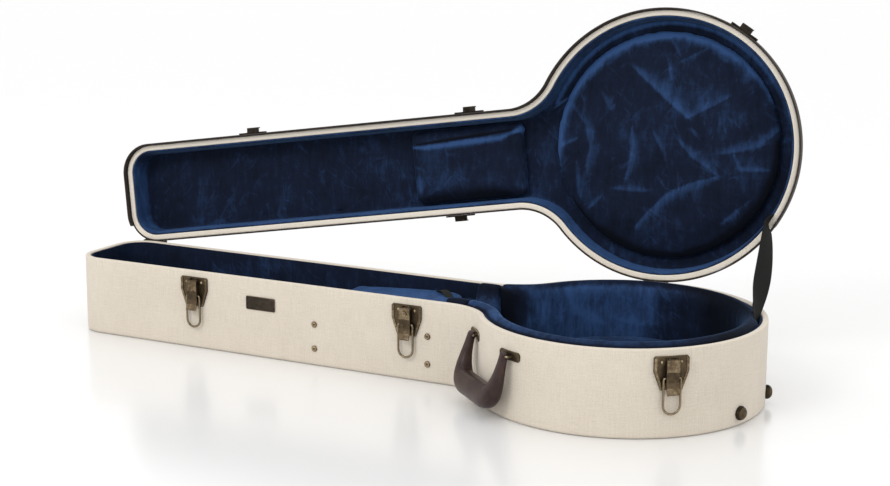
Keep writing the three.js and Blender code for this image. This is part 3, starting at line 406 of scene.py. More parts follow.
case = {
    "bodyRadius": 0.1945,
    "neckReach": 0.8705,
    "neckEndHalf": 0.0752,
    "neckRootHalf": 0.071,
    "cornerRadius": 0.043,
    "leastCorner": 0.003,
    "junctionRadius": 0.076,
    "baseHeight": 0.1165,
    "rimHeight": 0.1168,
    "lidHeight": 0.05,
    "lidSide": 0.016,
    "archWidth": 0.03,
    "wall": 0.0078,
    "lidTop": 0.006,
    "floorTop": 0.0118,
    "lining": 0.003,
    "liningDrop": 0.0012,
    "panelDepth": 0.037,
    "padTop": 0.1215,
    "gap": 0.0003,
    "steps": {"body": 84, "junction": 24, "corner": 16, "side": 64, "end": 8},
}
slope = math.atan2(case["neckRootHalf"] - case["neckEndHalf"], case["neckReach"])
sideFacing = Vector((-math.sin(slope), math.cos(slope)))
sideDistance = sideFacing.dot(Vector((-case["neckReach"], case["neckEndHalf"])))
centreReach = case["bodyRadius"] + case["junctionRadius"]
centreOff = sideDistance + case["junctionRadius"]
junctionCentre = sideFacing * centreOff + Vector((-sideFacing.y, sideFacing.x)) * math.sqrt(
    centreReach**2 - centreOff**2
)
bodyEnd = math.atan2(junctionCentre.y, junctionCentre.x)


def clamp(value, low=0, high=1):
    return min(max(value, low), high)


def arc(centre, radius, start, end, steps):
    centre = Vector(centre)
    turns = [start + (end - start) * step / steps for step in range(steps + 1)]
    return [centre + Vector((radius * math.cos(turn), radius * math.sin(turn))) for turn in turns]


def spoke(turn, length):
    return Vector((math.cos(turn), math.sin(turn), 0)) * length


def straight(start, end, steps):
    return [start.lerp(end, step / steps) for step in range(1, steps + 1)]


def roundCorner(grow):
    # The middle and the radius of the corner at the neck's end.
    radius = max(case["cornerRadius"] + grow, case["leastCorner"])
    x = radius - case["neckReach"] - grow
    y = (sideDistance + grow - radius - sideFacing.x * x) / sideFacing.y
    return Vector((x, y)), radius


def caseOutline(grow):
    sideAngle = math.atan2(sideFacing.y, sideFacing.x)
    steps = case["steps"]
    inner = case["junctionRadius"] - grow
    half = arc((0, 0), case["bodyRadius"] + grow, 0, bodyEnd, steps["body"])
    half += arc(junctionCentre, inner, bodyEnd + math.pi, sideAngle + math.pi, steps["junction"])[1:]
    cornerArc = arc(*roundCorner(grow), sideAngle, math.pi, steps["corner"])
    half += straight(half[-1], cornerArc[0], steps["side"]) + cornerArc[1:]
    half += straight(half[-1], Vector((-case["neckReach"] - grow, 0)), steps["end"])
    return half + [Vector((p.x, -p.y)) for p in reversed(half[1:-1])]


def runs(points):
    # How far along a path each of its points lies.
    reach = [0.0]
    for here, after in zip(points, points[1:]):
        reach.append(reach[-1] + (after - here).length)
    return reach


def ringEdges(bm, ring):
    return [bm.edges.get(pair) for pair in zip(ring, ring[1:] + ring[:1])]


def nextRing(bm, ring):
    # Extrudes a ring, and gives the new one in the same order.
    made = bmesh.ops.extrude_edge_only(bm, edges=ringEdges(bm, ring))["geom"]
    fresh = {part for part in made if isinstance(part, bmesh.types.BMVert)}
    return [
        next(e.other_vert(v) for e in v.link_edges if e.other_vert(v) in fresh) for v in ring
    ]


def startRing(bm, count):
    # A closed ring of vertices, in order of their angle.
    made = bmesh.ops.create_circle(bm, segments=count, radius=1)["verts"]
    return sorted(made, key=lambda v: math.atan2(v.co.y, v.co.x) % math.tau)


flatNormal = 0.98


def clothMap(bm, around, rise, whole):
    # The cloth's own map in metres: from above on flat parts, else by the run round and up the wall.
    cloth = bm.loops.layers.uv.new("Cloth")
    for face in bm.faces:
        flat = abs(face.normal.z) > flatNormal
        reach = [loop.vert[around] for loop in face.loops]
        wraps = max(reach) - min(reach) > whole / 2
        for loop in face.loops:
            u = loop.vert[around]
            if wraps and u < whole / 2:
                u += whole
            loop[cloth].uv = loop.vert.co.xy if flat else (u, loop.vert[rise])


def loftCase(levels, close):
    # Rings of the outline at rising levels: each level is how far it grows outward, and its height.
    bm = bmesh.new()
    around = bm.verts.layers.float.new("around")
    rise = bm.verts.layers.float.new("rise")
    plan = caseOutline(0)
    reach = runs(plan)
    ring = first = startRing(bm, len(plan))
    run = 0.0
    for index, (grow, height) in enumerate(levels):
        if index:
            ring = nextRing(bm, ring)
            run += math.dist(levels[index - 1], (grow, height))
        for vert, point, u in zip(ring, caseOutline(grow), reach):
            vert.co = (point.x, point.y, height)
            vert[around] = u
            vert[rise] = run
    if close == "loop":
        bmesh.ops.bridge_loops(bm, edges=ringEdges(bm, first) + ringEdges(bm, ring))
    else:
        for end in (first, ring):
            cap = bmesh.ops.contextual_create(bm, geom=ringEdges(bm, end))["faces"]
            bmesh.ops.triangulate(bm, faces=cap, ngon_method="EAR_CLIP")
    bmesh.ops.recalc_face_normals(bm, faces=bm.faces)
    clothMap(bm, around, rise, reach[-1] + (plan[0] - plan[-1]).length)
    return bm


def newObject(bm, name):
    mesh = bpy.data.meshes.new(name)
    bm.to_mesh(mesh)
    bm.free()
    made = bpy.data.objects.new(name, mesh)
    scene.collection.objects.link(made)
    return made


def addPiece(bm, name, finish, body, standsFor, sharp=38):
    for face in bm.faces:
        face.smooth = True
    for edge in bm.edges:
        soft = len(edge.link_faces) == 2 and edge.calc_face_angle(0) < math.radians(sharp)
        edge.smooth = soft
    piece = newObject(bm, name)
    piece.data.materials.append(finishes[finish])
    if body:
        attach(piece, body)
    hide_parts(standsFor)
    return piece


def evaluated(piece):
    return bpy.data.meshes.new_from_object(
        piece.evaluated_get(bpy.context.evaluated_depsgraph_get()), depsgraph=None
    )


def swapMesh(piece, mesh):
    old = piece.data
    piece.modifiers.clear()
    piece.data = mesh
    bpy.data.meshes.remove(old)


lidJoint = {
    "place": Vector((-0.028604, 0.195418, 0.114)),
    "axis": Vector((-0.989457, -0.144828, 0)),
    "open": 97.2,
}
lidOpen = (
    Matrix.Translation(lidJoint["place"])
    @ Matrix.Rotation(math.radians(lidJoint["open"]), 4, lidJoint["axis"])
    @ Matrix.Translation(-lidJoint["place"])
)


def openUp(bm):
    bmesh.ops.transform(bm, matrix=lidOpen, verts=bm.verts)
    return bm


def roundOver(grow, height, radius, start, end, steps=4):
    # Levels round an edge: the angle is 0 outward and 90 upward.
    turns = [math.radians(start + (end - start) * step / steps) for step in range(steps + 1)]
    return [(grow + radius * math.cos(a), height + radius * math.sin(a)) for a in turns]


baseShell = {
    "edge": 0.0016,
    "foot": 0.00855,
    "footEdge": 0.0045,
    "footTop": 0.0085,
    "wallShares": (0, 0.25, 0.5, 0.75),
    "trayWall": 0.05,
    "trayCorner": (0.002, 0.004),
}


def buildBase():
    edge = baseShell["edge"]
    low = baseShell["foot"]
    top = case["baseHeight"] - edge
    wall = [(0, low + (top - low) * share) for share in baseShell["wallShares"]]
    wall += roundOver(-edge, top, edge, 0, 90)
    wall += roundOver(edge - case["wall"], top, edge, 90, 180)
    wall += [(-case["wall"], low)]
    addPiece(loftCase(wall, "loop"), "BaseCloth", "linen", "base", "base_wall")

    foot = baseShell["footEdge"]
    bottom = roundOver(-foot, foot, foot, -90, 0, 5) + [(0, baseShell["footTop"])]
    addPiece(loftCase(bottom, "caps"), "BottomCloth", "linen", "base", "bottom_panel")

    inner = -case["wall"] - case["gap"]
    lined = inner - case["lining"]
    fold = case["lining"] / 2
    high = case["baseHeight"] - case["liningDrop"]
    tray = [(inner, low), (inner, high - edge)]
    tray += roundOver((inner + lined) / 2, high - fold, fold, 0, 180, 6)
    floor = case["floorTop"]
    inward, upward = baseShell["trayCorner"]
    tray += [(lined, floor + baseShell["trayWall"]), (lined, floor + upward), (lined - inward, floor)]
    addPiece(loftCase(tray, "caps"), "BaseLining", "velvet", "base", "base_lining")


buildBase()
print("lower shell covered")

lidShell = {
    "edge": 0.0016,
    "archSteps": 14,
    "inset": 0.011,
    "inward": (0.05, 0.13, 0.22, 0.27, 0.31, 0.36, 0.45, 0.6, 1),
    "depths": (0.2, 0.5, 0.757, 0.86, 0.93, 0.965, 0.985, 0.996, 1),
    "rimPale": 0.2,
}
paintedWallLight = {
    "wall": 0.34,
    "facing": Vector((0.36, -0.5, 0)),
    "level": 0.6,
    "crisp": 9,
    "ring": (0.1755, 0.1815),
    "ringDepth": 0.1,
    "ringLift": 0.46,
    "ringFade": 1.4,
}


def paintWallLight(bm, look):
    # The steep walls get a painted highlight over the panel's tone, most of all where they face up,
    # and so does a ring of the panel round the pad, on its upper half.
    crushAndPaintedLight = bm.verts.layers.float.new("crushAndPaintedLight")
    panel = case["rimHeight"] + case["panelDepth"]
    inside, outside = look["ring"]
    bm.normal_update()
    for vert in bm.verts:
        depth = (panel - vert.co.z) / case["panelDepth"]
        facing = look["level"] + look["facing"].dot(vert.normal)
        vert[crushAndPaintedLight] = look["wall"] * max(facing, 0) * clamp(depth * look["crisp"])
        reach = vert.co.xy.length
        onRing = vert.co.x > junctionCentre.x and inside < reach < outside
        if onRing and 0 < depth < look["ringDepth"]:
            vert[crushAndPaintedLight] = look["ringLift"] * clamp(-look["ringFade"] * vert.co.y / reach)


def archLevels(foot, grow, height, steps):
    width = case["archWidth"] + grow
    rise = height - case["lidSide"]
    low = case["rimHeight"] + case["lidSide"]
    levels = [(grow, foot)]
    for step in range(steps + 1):
        turn = math.pi / 2 * step / steps
        levels.append((grow - width * (1 - math.cos(turn)), low + rise * math.sin(turn)))
    return levels


def buildLid():
    edge = lidShell["edge"]
    steps = lidShell["archSteps"]
    rim = case["rimHeight"]
    wall = -case["wall"]
    outer = archLevels(rim + edge, 0, case["lidHeight"], steps)[1:]
    levels = list(reversed(outer))
    levels += roundOver(-edge, rim + edge, edge, 0, -90)
    levels += roundOver(wall + edge, rim + edge, edge, -90, -180)
    levels += archLevels(rim, wall, case["lidHeight"] - case["lidTop"], steps)[1:]
    shell = loftCase(levels, "caps")
    pale = shell.verts.layers.float.new("pale")
    for vert in shell.verts:
        vert[pale] = lidShell["rimPale"] * (vert.co.z < rim + edge)
    openUp(shell)
    addPiece(shell, "LidCloth", "linen", "lid", "lid_shell")

    inner = wall - case["gap"]
    lined = inner - case["lining"]
    high = case["lidHeight"] - case["lidTop"] - case["gap"]
    foot = rim + case["liningDrop"]
    tray = list(reversed(archLevels(foot, inner, high, steps)[1:]))
    fold = case["lining"] / 2
    tray += roundOver((inner + lined) / 2, foot + fold, fold, 0, -180, 6)
    for inward, depth in zip(lidShell["inward"], lidShell["depths"]):
        tray.append((lined - inward * lidShell["inset"], rim + depth * case["panelDepth"]))
    lining = loftCase(tray, "caps")
    paintWallLight(lining, paintedWallLight)
    addPiece(openUp(lining), "LidLining", "velvet", "lid", "lid_lining")


buildLid()
print("lid covered")

# Rigid fittings: copies of the model's solids with their edges eased.


def mergedCopy(name):
    bm = bmesh.new()
    bm.from_mesh(nodes[name].data)
    bmesh.ops.remove_doubles(bm, verts=bm.verts, dist=2e-6)
    return bm


def titled(name):
    return "".join(word.capitalize() for word in name.split("_"))


def middleOf(bm):
    return sum((vert.co for vert in bm.verts), Vector()) / len(bm.verts)


def wallFacing(place):
    # The level direction out of the wall nearest to a place, and how far along it the wall stands.
    side = math.copysign(1, place.y)
    if place.x < junctionCentre.x:
        return Vector((sideFacing.x, side * sideFacing.y, 0)), sideDistance
    return Vector((place.x, place.y, 0)).normalized(), case["bodyRadius"]


# Painted light and shade on the metal: tones set by how far out of the wall a face lies, in millimetres,
# painted shade at the sides of a fitting, and painted highlights along its eased edges and on its rivets.

paintedMetalShading = {
    "depths": [-1, 1.8, 2.4, 3.1, 4.6, 8.2, 8.6, 9.3, 10.5, 12, 15],
    "tones": [-0.06, -0.06, 0.02, 0.06, 0.02, -0.1, -0.1, 0.05, 0.08, -0.04, -0.1],
    "side": -0.2,
    "edgeHighlight": 0.3,
    "rivet": 0.22,
    "leastFront": 0.5,
    "leastEdgeHighlight": 0.3,
}
leastEdgeAngle = math.radians(34)


def easeEdges(bm, width, segments):
    # Rounds the sharp edges, and writes the painted light and shade of each face.
    wear = bm.faces.layers.float.new("wear")
    bm.normal_update()
    out, reach = wallFacing(middleOf(bm))
    for face in bm.faces:
        # Faces turned outward are painted lighter or darker by depth; side faces get painted shade.
        depth = (face.calc_center_median().dot(out) - reach) * 1000
        front = np.interp(depth, paintedMetalShading["depths"], paintedMetalShading["tones"])
        face[wear] = front if face.normal.dot(out) > paintedMetalShading["leastFront"] else paintedMetalShading["side"]
    sharp = [
        edge
        for edge in bm.edges
        if len(edge.link_faces) == 2
        and edge.calc_face_angle(0) > leastEdgeAngle
        and edge.calc_length() > width
    ]
    made = bmesh.ops.bevel(
        bm,
        geom=sharp,
        offset=width,
        offset_type="OFFSET",
        segments=segments,
        profile=0.5,
        affect="EDGES",
        clamp_overlap=True,
        material=-1,
    )
    # The eased edges that face outward get a painted highlight.
    for face in made["faces"]:
        if face.normal.dot(out) > paintedMetalShading["leastEdgeHighlight"]:
            face[wear] = paintedMetalShading["edgeHighlight"]


plateRivet = {"across": 0.0128, "height": 0.1005, "out": 0.0017, "radius": 0.0021}


def addRivets(bm):
    # Two small round heads that hold the latch's plate, one on each side of the lever.
    middle = middleOf(bm)
    out, reach = wallFacing(middle)
    along = Vector((-out.y, out.x, 0))
    wear = bm.faces.layers.float["wear"]
    for side in (-1, 1):
        across = middle.dot(along) + side * plateRivet["across"]
        place = out * (reach + plateRivet["out"]) + along * across
        place.z = plateRivet["height"]
        made = bmesh.ops.create_uvsphere(
            bm,
            u_segments=14,
            v_segments=8,
            radius=plateRivet["radius"],
            matrix=Matrix.Translation(place),
        )
        # The rivet heads get a painted highlight.
        for face in {face for vert in made["verts"] for face in vert.link_faces}:
            face[wear] = paintedMetalShading["rivet"]


def dress(name, finish, body, width=0.00035, segments=2):
    bm = mergedCopy(name)
    bmesh.ops.dissolve_limit(bm, angle_limit=math.radians(1), verts=bm.verts, edges=bm.edges)
    easeEdges(bm, width, segments)
    if name.startswith("latch_plate"):
        addRivets(bm)
    addPiece(bm, titled(name), finish, body, name)


def buildFittings():
    for name in ("neck", "middle", "body", "back"):
        dress(f"latch_plate_{name}", "brass", "base", 0.0005)
        dress(f"lever_pin_{name}", "brass", "base", 0.0002)
        dress(f"latch_lever_{name}", "brass", f"lever_{name}", 0.0004)
        dress(f"latch_bail_{name}", "brass", f"bail_{name}", 0.0002)
        dress(f"strike_{name}", "bronze", "lid", 0.0004)
    dress("key_cylinder", "brass", "key", 0.0002)
    for name in ("neck", "body"):
        dress(f"handle_bracket_{name}", "brass", "base")
        dress(f"handle_ring_{name}", "brass", "base", 0.0002)
        dress(f"hinge_base_leaf_{name}", "brass", "base")
        dress(f"hinge_lid_leaf_{name}", "brass", "lid")
        dress(f"hinge_pin_{name}", "brass", "base", 0.0002)
        for level in ("low", "high"):
            dress(f"rivet_{name}_{level}", "brass", "base", 0.0003)
        dress(f"compartment_wall_{name}", "velvet", "base", 0.001, 3)
    for side in ("front", "back"):
        dress(f"tail_foot_{side}", "brass", "base", 0.0003)
    dress("name_plate", "bronze", "base", 0.0004)
    dress("pull_tab", "tab", "compartment_cover", 0.0003)


buildFittings()
print("fittings dressed")

# The brown edge that covers the lid's joint: a lip in front, and a flat binding by the hinges.

lidEdge = {
    "proud": 0.0032,
    "flatProud": 0.0026,
    "drop": 0.008,
    "top": 0.128,
    "flatFoot": 0.1172,
    "clear": 0.0009,
    "groove": 0.0008,
    "grooveHeight": 0.002,
    "grooveHalf": 0.0009,
    "tailAngle": 41,
    "cornerAngle": 157,
    "cornerReach": 0.02,
    "backStrip": 0.03,
    "joint": 0.09,
    "round": 0.0009,
}
neckCorner = roundCorner(0)[0].to_3d()


def cutByHinges(bm, keepHinges):
    # Cuts the ring on two lines and keeps the part behind them, or all but that part.
    turn = lidEdge["joint"] if keepHinges else 0
    tail = math.radians(lidEdge["tailAngle"] + turn)
    corner = math.radians(lidEdge["cornerAngle"] - turn)
    cornerEnd = neckCorner.x + lidEdge["cornerReach"]
    lines = [
        (Vector((0, 0, 0)), tail, lambda c: c.x > 0 and c.y > 0),
        (neckCorner, corner, lambda c: c.x < cornerEnd and c.y > lidEdge["backStrip"]),
    ]
    for place, angle, near in lines:
        faces = [face for face in bm.faces if near(face.calc_center_median())]
        parts = set(faces)
        for face in faces:
            parts.update(face.edges)
            parts.update(face.verts)
        facing = (-math.sin(angle), math.cos(angle), 0)
        bmesh.ops.bisect_plane(bm, geom=list(parts), plane_co=place, plane_no=facing, dist=1e-7)

    def behind(c):
        pastTail = c.y * math.cos(tail) - c.x * math.sin(tail) > 0 and c.y > 0
        off = c - neckCorner
        pastCorner = off.y * math.cos(corner) - off.x * math.sin(corner) > 0
        return pastTail and (c.x > cornerEnd or not pastCorner)

    gone = [face for face in bm.faces if behind(face.calc_center_median()) != keepHinges]
    bmesh.ops.delete(bm, geom=gone, context="FACES")
    rims = [edge for edge in bm.edges if len(edge.link_faces) == 1]
    bmesh.ops.holes_fill(bm, edges=rims, sides=0)
    bmesh.ops.recalc_face_normals(bm, faces=bm.faces)
    return bm


def buildLidEdge():
    low = case["baseHeight"] - lidEdge["drop"]
    rim = case["rimHeight"]
    proud, clear, top = (lidEdge[key] for key in ("proud", "clear", "top"))
    gap = case["gap"]
    edge = lidEdge["round"]
    step = rim - gap
    groove = rim + lidEdge["grooveHeight"]
    half = lidEdge["grooveHalf"]
    lip = roundOver(clear + edge, low + edge, edge, -180, -90, 3)
    lip += roundOver(proud - edge, low + edge, edge, -90, 0, 3)
    lip += [(proud, groove - half), (proud - lidEdge["groove"], groove), (proud, groove + half)]
    lip += roundOver(proud - edge, top - edge, edge, 0, 90, 3)
    lip += roundOver(gap + edge, top - edge, edge, 90, 180, 3)
    lip += [(gap, step), (clear, step)]
    ring = cutByHinges(loftCase(lip, "loop"), False)
    addPiece(openUp(ring), "LidLip", "binding", "lid", "lid_lip")

    proud = lidEdge["flatProud"]
    low = lidEdge["flatFoot"]
    flat = roundOver(proud - edge, low + edge, edge, -90, 0, 3)
    flat += roundOver(proud - edge, top - edge, edge, 0, 90, 3)
    flat += [(gap, top), (gap, low)]
    ring = cutByHinges(loftCase(flat, "loop"), True)
    addPiece(openUp(ring), "LidBinding", "binding", "lid", "lid_binding")


buildLidEdge()
print("lid edge covered")

# The stay strap, taut between the side padding and the lid. At each share of its free length its
# width has turned by some degrees from the hinge line.

strap = {
    "width": 0.024,
    "thickness": 0.0016,
    "baseAngle": 22,
    "lidAngle": 40,
    "lidSlant": 2.2,
    "pocket": 0.026,
    "lidDepth": 0.012,
    "bow": 0.0027,
    "lean": 0.0038,
    "steps": 96,
    "columns": 8,
    "halfFacets": 48,
    "pocketTurn": 97,
    "shares": (0, 0.05, 0.1, 0.15, 0.2, 0.27, 0.34, 0.41, 0.48, 0.55, 0.62, 0.73, 0.82, 0.93),
    "turns": (72, 70, 62, 54, 45, 34, 26, 27, 32, 37, 43, 52, 60, 72),
}


def strapPlaces():
    # The strap is set in from the wall by the sag of the model's facets and of its own flat width.
    radius = case["bodyRadius"]
    sag = radius * (1 - math.cos(bodyEnd / strap["halfFacets"]))
    setIn = case["gap"] + sag + strap["width"] ** 2 / (8 * radius) + strap["thickness"] / 2

    def wallPlace(angle, inward, height):
        return spoke(math.radians(angle), radius - inward) + Vector((0, 0, height))

    lined = case["wall"] + case["gap"] + case["lining"]
    mouth = wallPlace(strap["baseAngle"], lined + setIn + strap["lean"], case["padTop"])
    deep = case["wall"] + setIn
    rootAngle = strap["lidAngle"] + strap["lidSlant"]
    rim = lidOpen @ wallPlace(strap["lidAngle"], deep, case["rimHeight"])
    root = lidOpen @ wallPlace(rootAngle, deep, case["rimHeight"] + strap["lidDepth"])
    ahead = (rim - mouth).normalized()
    hinge = -lidJoint["axis"]
    level = (hinge - ahead * hinge.dot(ahead)).normalized()

    def across(degrees):
        return Quaternion(ahead, math.radians(degrees)) @ level

    def alongWall(angle):
        turn = math.radians(angle)
        return lidOpen.to_3x3() @ Vector((-math.sin(turn), math.cos(turn), 0))

    places = [(mouth - ahead * strap["pocket"], across(strap["pocketTurn"]))]
    for share, degrees in zip(strap["shares"], strap["turns"]):
        bow = hinge * (strap["bow"] * math.sin(math.pi * share))
        places.append((mouth.lerp(rim, share) + bow, across(degrees)))
    places += [(rim, alongWall(strap["lidAngle"])), (root, alongWall(rootAngle))]
    return mouth, rim, places


def buildStrap():
    mouth, rim, places = strapPlaces()
    reach = runs([place for place, across in places])
    bm = bmesh.new()
    bmesh.ops.create_grid(bm, x_segments=strap["columns"], y_segments=strap["steps"], size=1)
    cloth = bm.loops.layers.uv.new("Cloth")
    for face in bm.faces:
        for loop in face.loops:
            share = (loop.vert.co.y + 1) / 2
            loop[cloth].uv = (loop.vert.co.x * strap["width"] / 2, share * reach[-1])
    for vert in bm.verts:
        run = (vert.co.y + 1) / 2 * reach[-1]
        index = max(i for i in range(len(places) - 1) if reach[i] <= run + 1e-9)
        share = (run - reach[index]) / (reach[index + 1] - reach[index])
        centre = places[index][0].lerp(places[index + 1][0], share)
        across = places[index][1].lerp(places[index + 1][1], share).normalized()
        vert.co = centre + across * (vert.co.x * strap["width"] / 2)
    piece = addPiece(bm, "StayStrap", "webbing", None, "stay_strap")
    shell = piece.modifiers.new("Thickness", "SOLIDIFY")
    shell.thickness = strap["thickness"]
    shell.offset = 0
    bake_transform(piece, "base", "lid", start=tuple(mouth), end=tuple(rim))


buildStrap()
print("strap laid")

# The handle: a leather grip whose ends turn on the two brackets. Its stations are millimetres: how far
# along from the end's bore and how far up, then the width and the thickness there.

grip = {
    "height": 0.088,
    "standOff": 0.0085,
    "lean": 15,
    "neckTurn": 5.3,
    "bodyAngle": -115,
    "bore": 0.0022,
    "boreSides": 24,
    "boreDepth": 0.04,
    "sides": 32,
    "fine": 7,
    "square": 0.8,
    "stations": [
        (0, 4.8, 12, 3.6),
        (0, 3.6, 13, 7),
        (0, 1.6, 13.4, 9.2),
        (0, -1.6, 13.6, 9.8),
        (-0.5, -13, 15, 11.5),
        (-0.5, -27, 17.5, 15),
        (1.5, -41, 22, 20),
        (8, -54, 28, 25),
        (20, -60, 32, 27),
        (42, -60.5, 32, 27),
    ],
}


def gripFrame():
    centre = Vector((junctionCentre.x, -junctionCentre.y, 0))
    angle = math.pi - bodyEnd + math.radians(grip["neckTurn"])
    neckEnd = centre + spoke(angle, case["junctionRadius"])
    roundEnd = spoke(math.radians(grip["bodyAngle"]), case["bodyRadius"])
    chord = roundEnd - neckEnd
    along = chord.normalized()
    outward = Vector((along.y, -along.x, 0))
    middle = neckEnd + chord / 2 + outward * grip["standOff"]
    middle.z = grip["height"]
    lean = math.radians(grip["lean"])
    hang = Vector((0, 0, -math.cos(lean))) + outward * math.sin(lean)
    facing = -along.cross(hang)
    frame = Matrix((along, -hang, facing)).transposed().to_4x4()
    frame.translation = middle
    return frame, chord.length / 2


def smoothed(values, share):
    # A point between the middle two of four values, on a smooth curve through all of them.
    a, b, c, d = values
    return 0.5 * (
        2 * b
        + (c - a) * share
        + (2 * a - 5 * b + 4 * c - d) * share**2
        + (3 * b - a - 3 * c + d) * share**3
    )


def squared(value):
    # Pushes a round section out towards its corners.
    return math.copysign(abs(value) ** grip["square"], value)


def buildGrip():
    frame, half = gripFrame()
    left = [np.array(station) * 0.001 - (half, 0, 0, 0) for station in grip["stations"]]
    right = [station * (-1, 1, 1, 1) for station in reversed(left)]
    rough = left + right
    fine = []
    for index in range(len(rough) - 1):
        four = [rough[clamp(index + off, 0, len(rough) - 1)] for off in (-1, 0, 1, 2)]
        steps = grip["fine"] if 2 < index < len(rough) - 4 else 2
        fine += [smoothed(four, step / steps) for step in range(steps)]
    fine.append(rough[-1])
    bm = bmesh.new()
    ring = first = startRing(bm, grip["sides"])
    for index, (x, y, width, thickness) in enumerate(fine):
        if index:
            ring = nextRing(bm, ring)
        before = fine[max(index - 1, 0)]
        after = fine[min(index + 1, len(fine) - 1)]
        ahead = Vector((after[0] - before[0], after[1] - before[1], 0)).normalized()
        for number, vert in enumerate(ring):
            turn = math.tau * number / grip["sides"]
            wide = squared(math.cos(turn)) * width / 2
            thick = squared(math.sin(turn)) * thickness / 2
            vert.co = (x + ahead.y * wide, y - ahead.x * wide, thick)
    for end in (first, ring):
        bmesh.ops.contextual_create(bm, geom=ringEdges(bm, end))
    bmesh.ops.recalc_face_normals(bm, faces=bm.faces)
    bmesh.ops.transform(bm, matrix=frame, verts=bm.verts)
    piece = addPiece(bm, "HandleGrip", "leather", "handle", "handle_grip", sharp=60)
    across = Matrix.Rotation(math.pi / 2, 4, "Y")
    for side in (-1, 1):
        cutter = bmesh.new()
        bmesh.ops.create_cone(
            cutter,
            cap_ends=True,
            segments=grip["boreSides"],
            radius1=grip["bore"],
            radius2=grip["bore"],
            depth=grip["boreDepth"],
            matrix=frame @ Matrix.Translation((side * half, 0, 0)) @ across,
        )
        holder = newObject(cutter, "BoreCutter")
        bore = piece.modifiers.new("Bore", "BOOLEAN")
        bore.operation = "DIFFERENCE"
        bore.object = holder
        swapMesh(piece, evaluated(piece))
        bpy.data.meshes.remove(holder.data)


buildGrip()
print("handle made")

# Padding: the model's solids remeshed, filled by a short cloth simulation and smoothed. A pad is held
# below a height, or above one where the lid carries it, as it lies with the lid closed.

filling = {"frames": 14, "quality": 4}
smoothing = {"factor": 0.5, "use_axis_x": True, "use_axis_y": True, "use_axis_z": True}
lidPadFace = case["rimHeight"] + 0.021
lidPadHeld = lidPadFace + 0.008
pads = {
    "body_side_pad": {"voxel": 0.004, "cap": 0.0025, "pressure": 4, "held": 0.09},
    "body_floor_pad": {"voxel": 0.005, "cap": 0.002, "pressure": 4, "held": 0.03},
    "neck_cradle": {"voxel": 0.0035, "cap": 0.003, "pressure": 4, "held": 0.06},
    "compartment_lid": {"voxel": 0.0028, "cap": 0.0015, "pressure": 3, "held": 0.0865},
    "lid_body_pad": {"voxel": 0.004, "cap": 0.003, "pressure": 4, "held": lidPadHeld},
    "lid_neck_pad": {"voxel": 0.0035, "cap": 0.003, "pressure": 4, "held": lidPadHeld},
}
padBodies = {"compartment_lid": "compartment_cover", "lid_body_pad": "lid", "lid_neck_pad": "lid"}


def coordinates(mesh):
    places = np.empty(len(mesh.vertices) * 3)
    mesh.vertices.foreach_get("co", places)
    return places.reshape(-1, 3)


def fillPad(piece, pad, body):
    rest = coordinates(piece.data)
    group = piece.vertex_groups.new(name="held")
    held = lidSpace(rest)[:, 2] > pad["held"] if body == "lid" else rest[:, 2] < pad["held"]
    group.add([int(i) for i in np.nonzero(held)[0]], 1.0, "REPLACE")
    cloth = piece.modifiers.new("Fill", "CLOTH")
    cloth.settings.quality = filling["quality"]
    cloth.settings.use_pressure = True
    cloth.settings.uniform_pressure_force = pad["pressure"]
    cloth.settings.effector_weights.gravity = 0
    cloth.settings.vertex_group_mass = "held"
    cloth.point_cache.frame_start = 1
    cloth.point_cache.frame_end = filling["frames"]
    for step in range(1, filling["frames"] + 1):
        scene.frame_set(step)
    mesh = evaluated(piece)
    shift = coordinates(mesh) - rest
    length = np.linalg.norm(shift, axis=1, keepdims=True)
    shift *= np.minimum(1, pad["cap"] / np.maximum(length, 1e-9))
    mesh.vertices.foreach_set("co", (rest + shift).ravel())
    swapMesh(piece, mesh)
    piece.vertex_groups.clear()
    scene.frame_set(1)


def makePad(name, sculpt, finish="velvet", passes=6):
    pad = pads[name]
    body = padBodies.get(name, "base")
    title = titled(name)
    piece = newObject(mergedCopy(name), title)
    remesh = piece.modifiers.new("Remesh", "REMESH")
    remesh.mode = "VOXEL"
    remesh.voxel_size = pad["voxel"]
    swapMesh(piece, evaluated(piece))
    fillPad(piece, pad, body)
    bm = bmesh.new()
    bm.from_mesh(piece.data)
    for _ in range(passes):
        bmesh.ops.smooth_vert(bm, verts=bm.verts, **smoothing)
    bmesh.ops.subdivide_edges(bm, edges=bm.edges, cuts=1, use_grid_fill=True, smooth=0.6)
    bm.normal_update()
    sculpt(bm)
    for face in bm.faces:
        face.smooth = True
    bm.to_mesh(piece.data)
    bm.free()
    piece.data.materials.append(finishes[finish])
    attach(piece, body)
    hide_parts(name)
    print("padding:", title, len(piece.data.polygons), "faces")


def lidSpace(points):
    # Points of the open lid as they lie when the lid is closed.
    close = np.array(lidOpen.inverted())
    return points @ close[:3, :3].T + close[:3, 3]
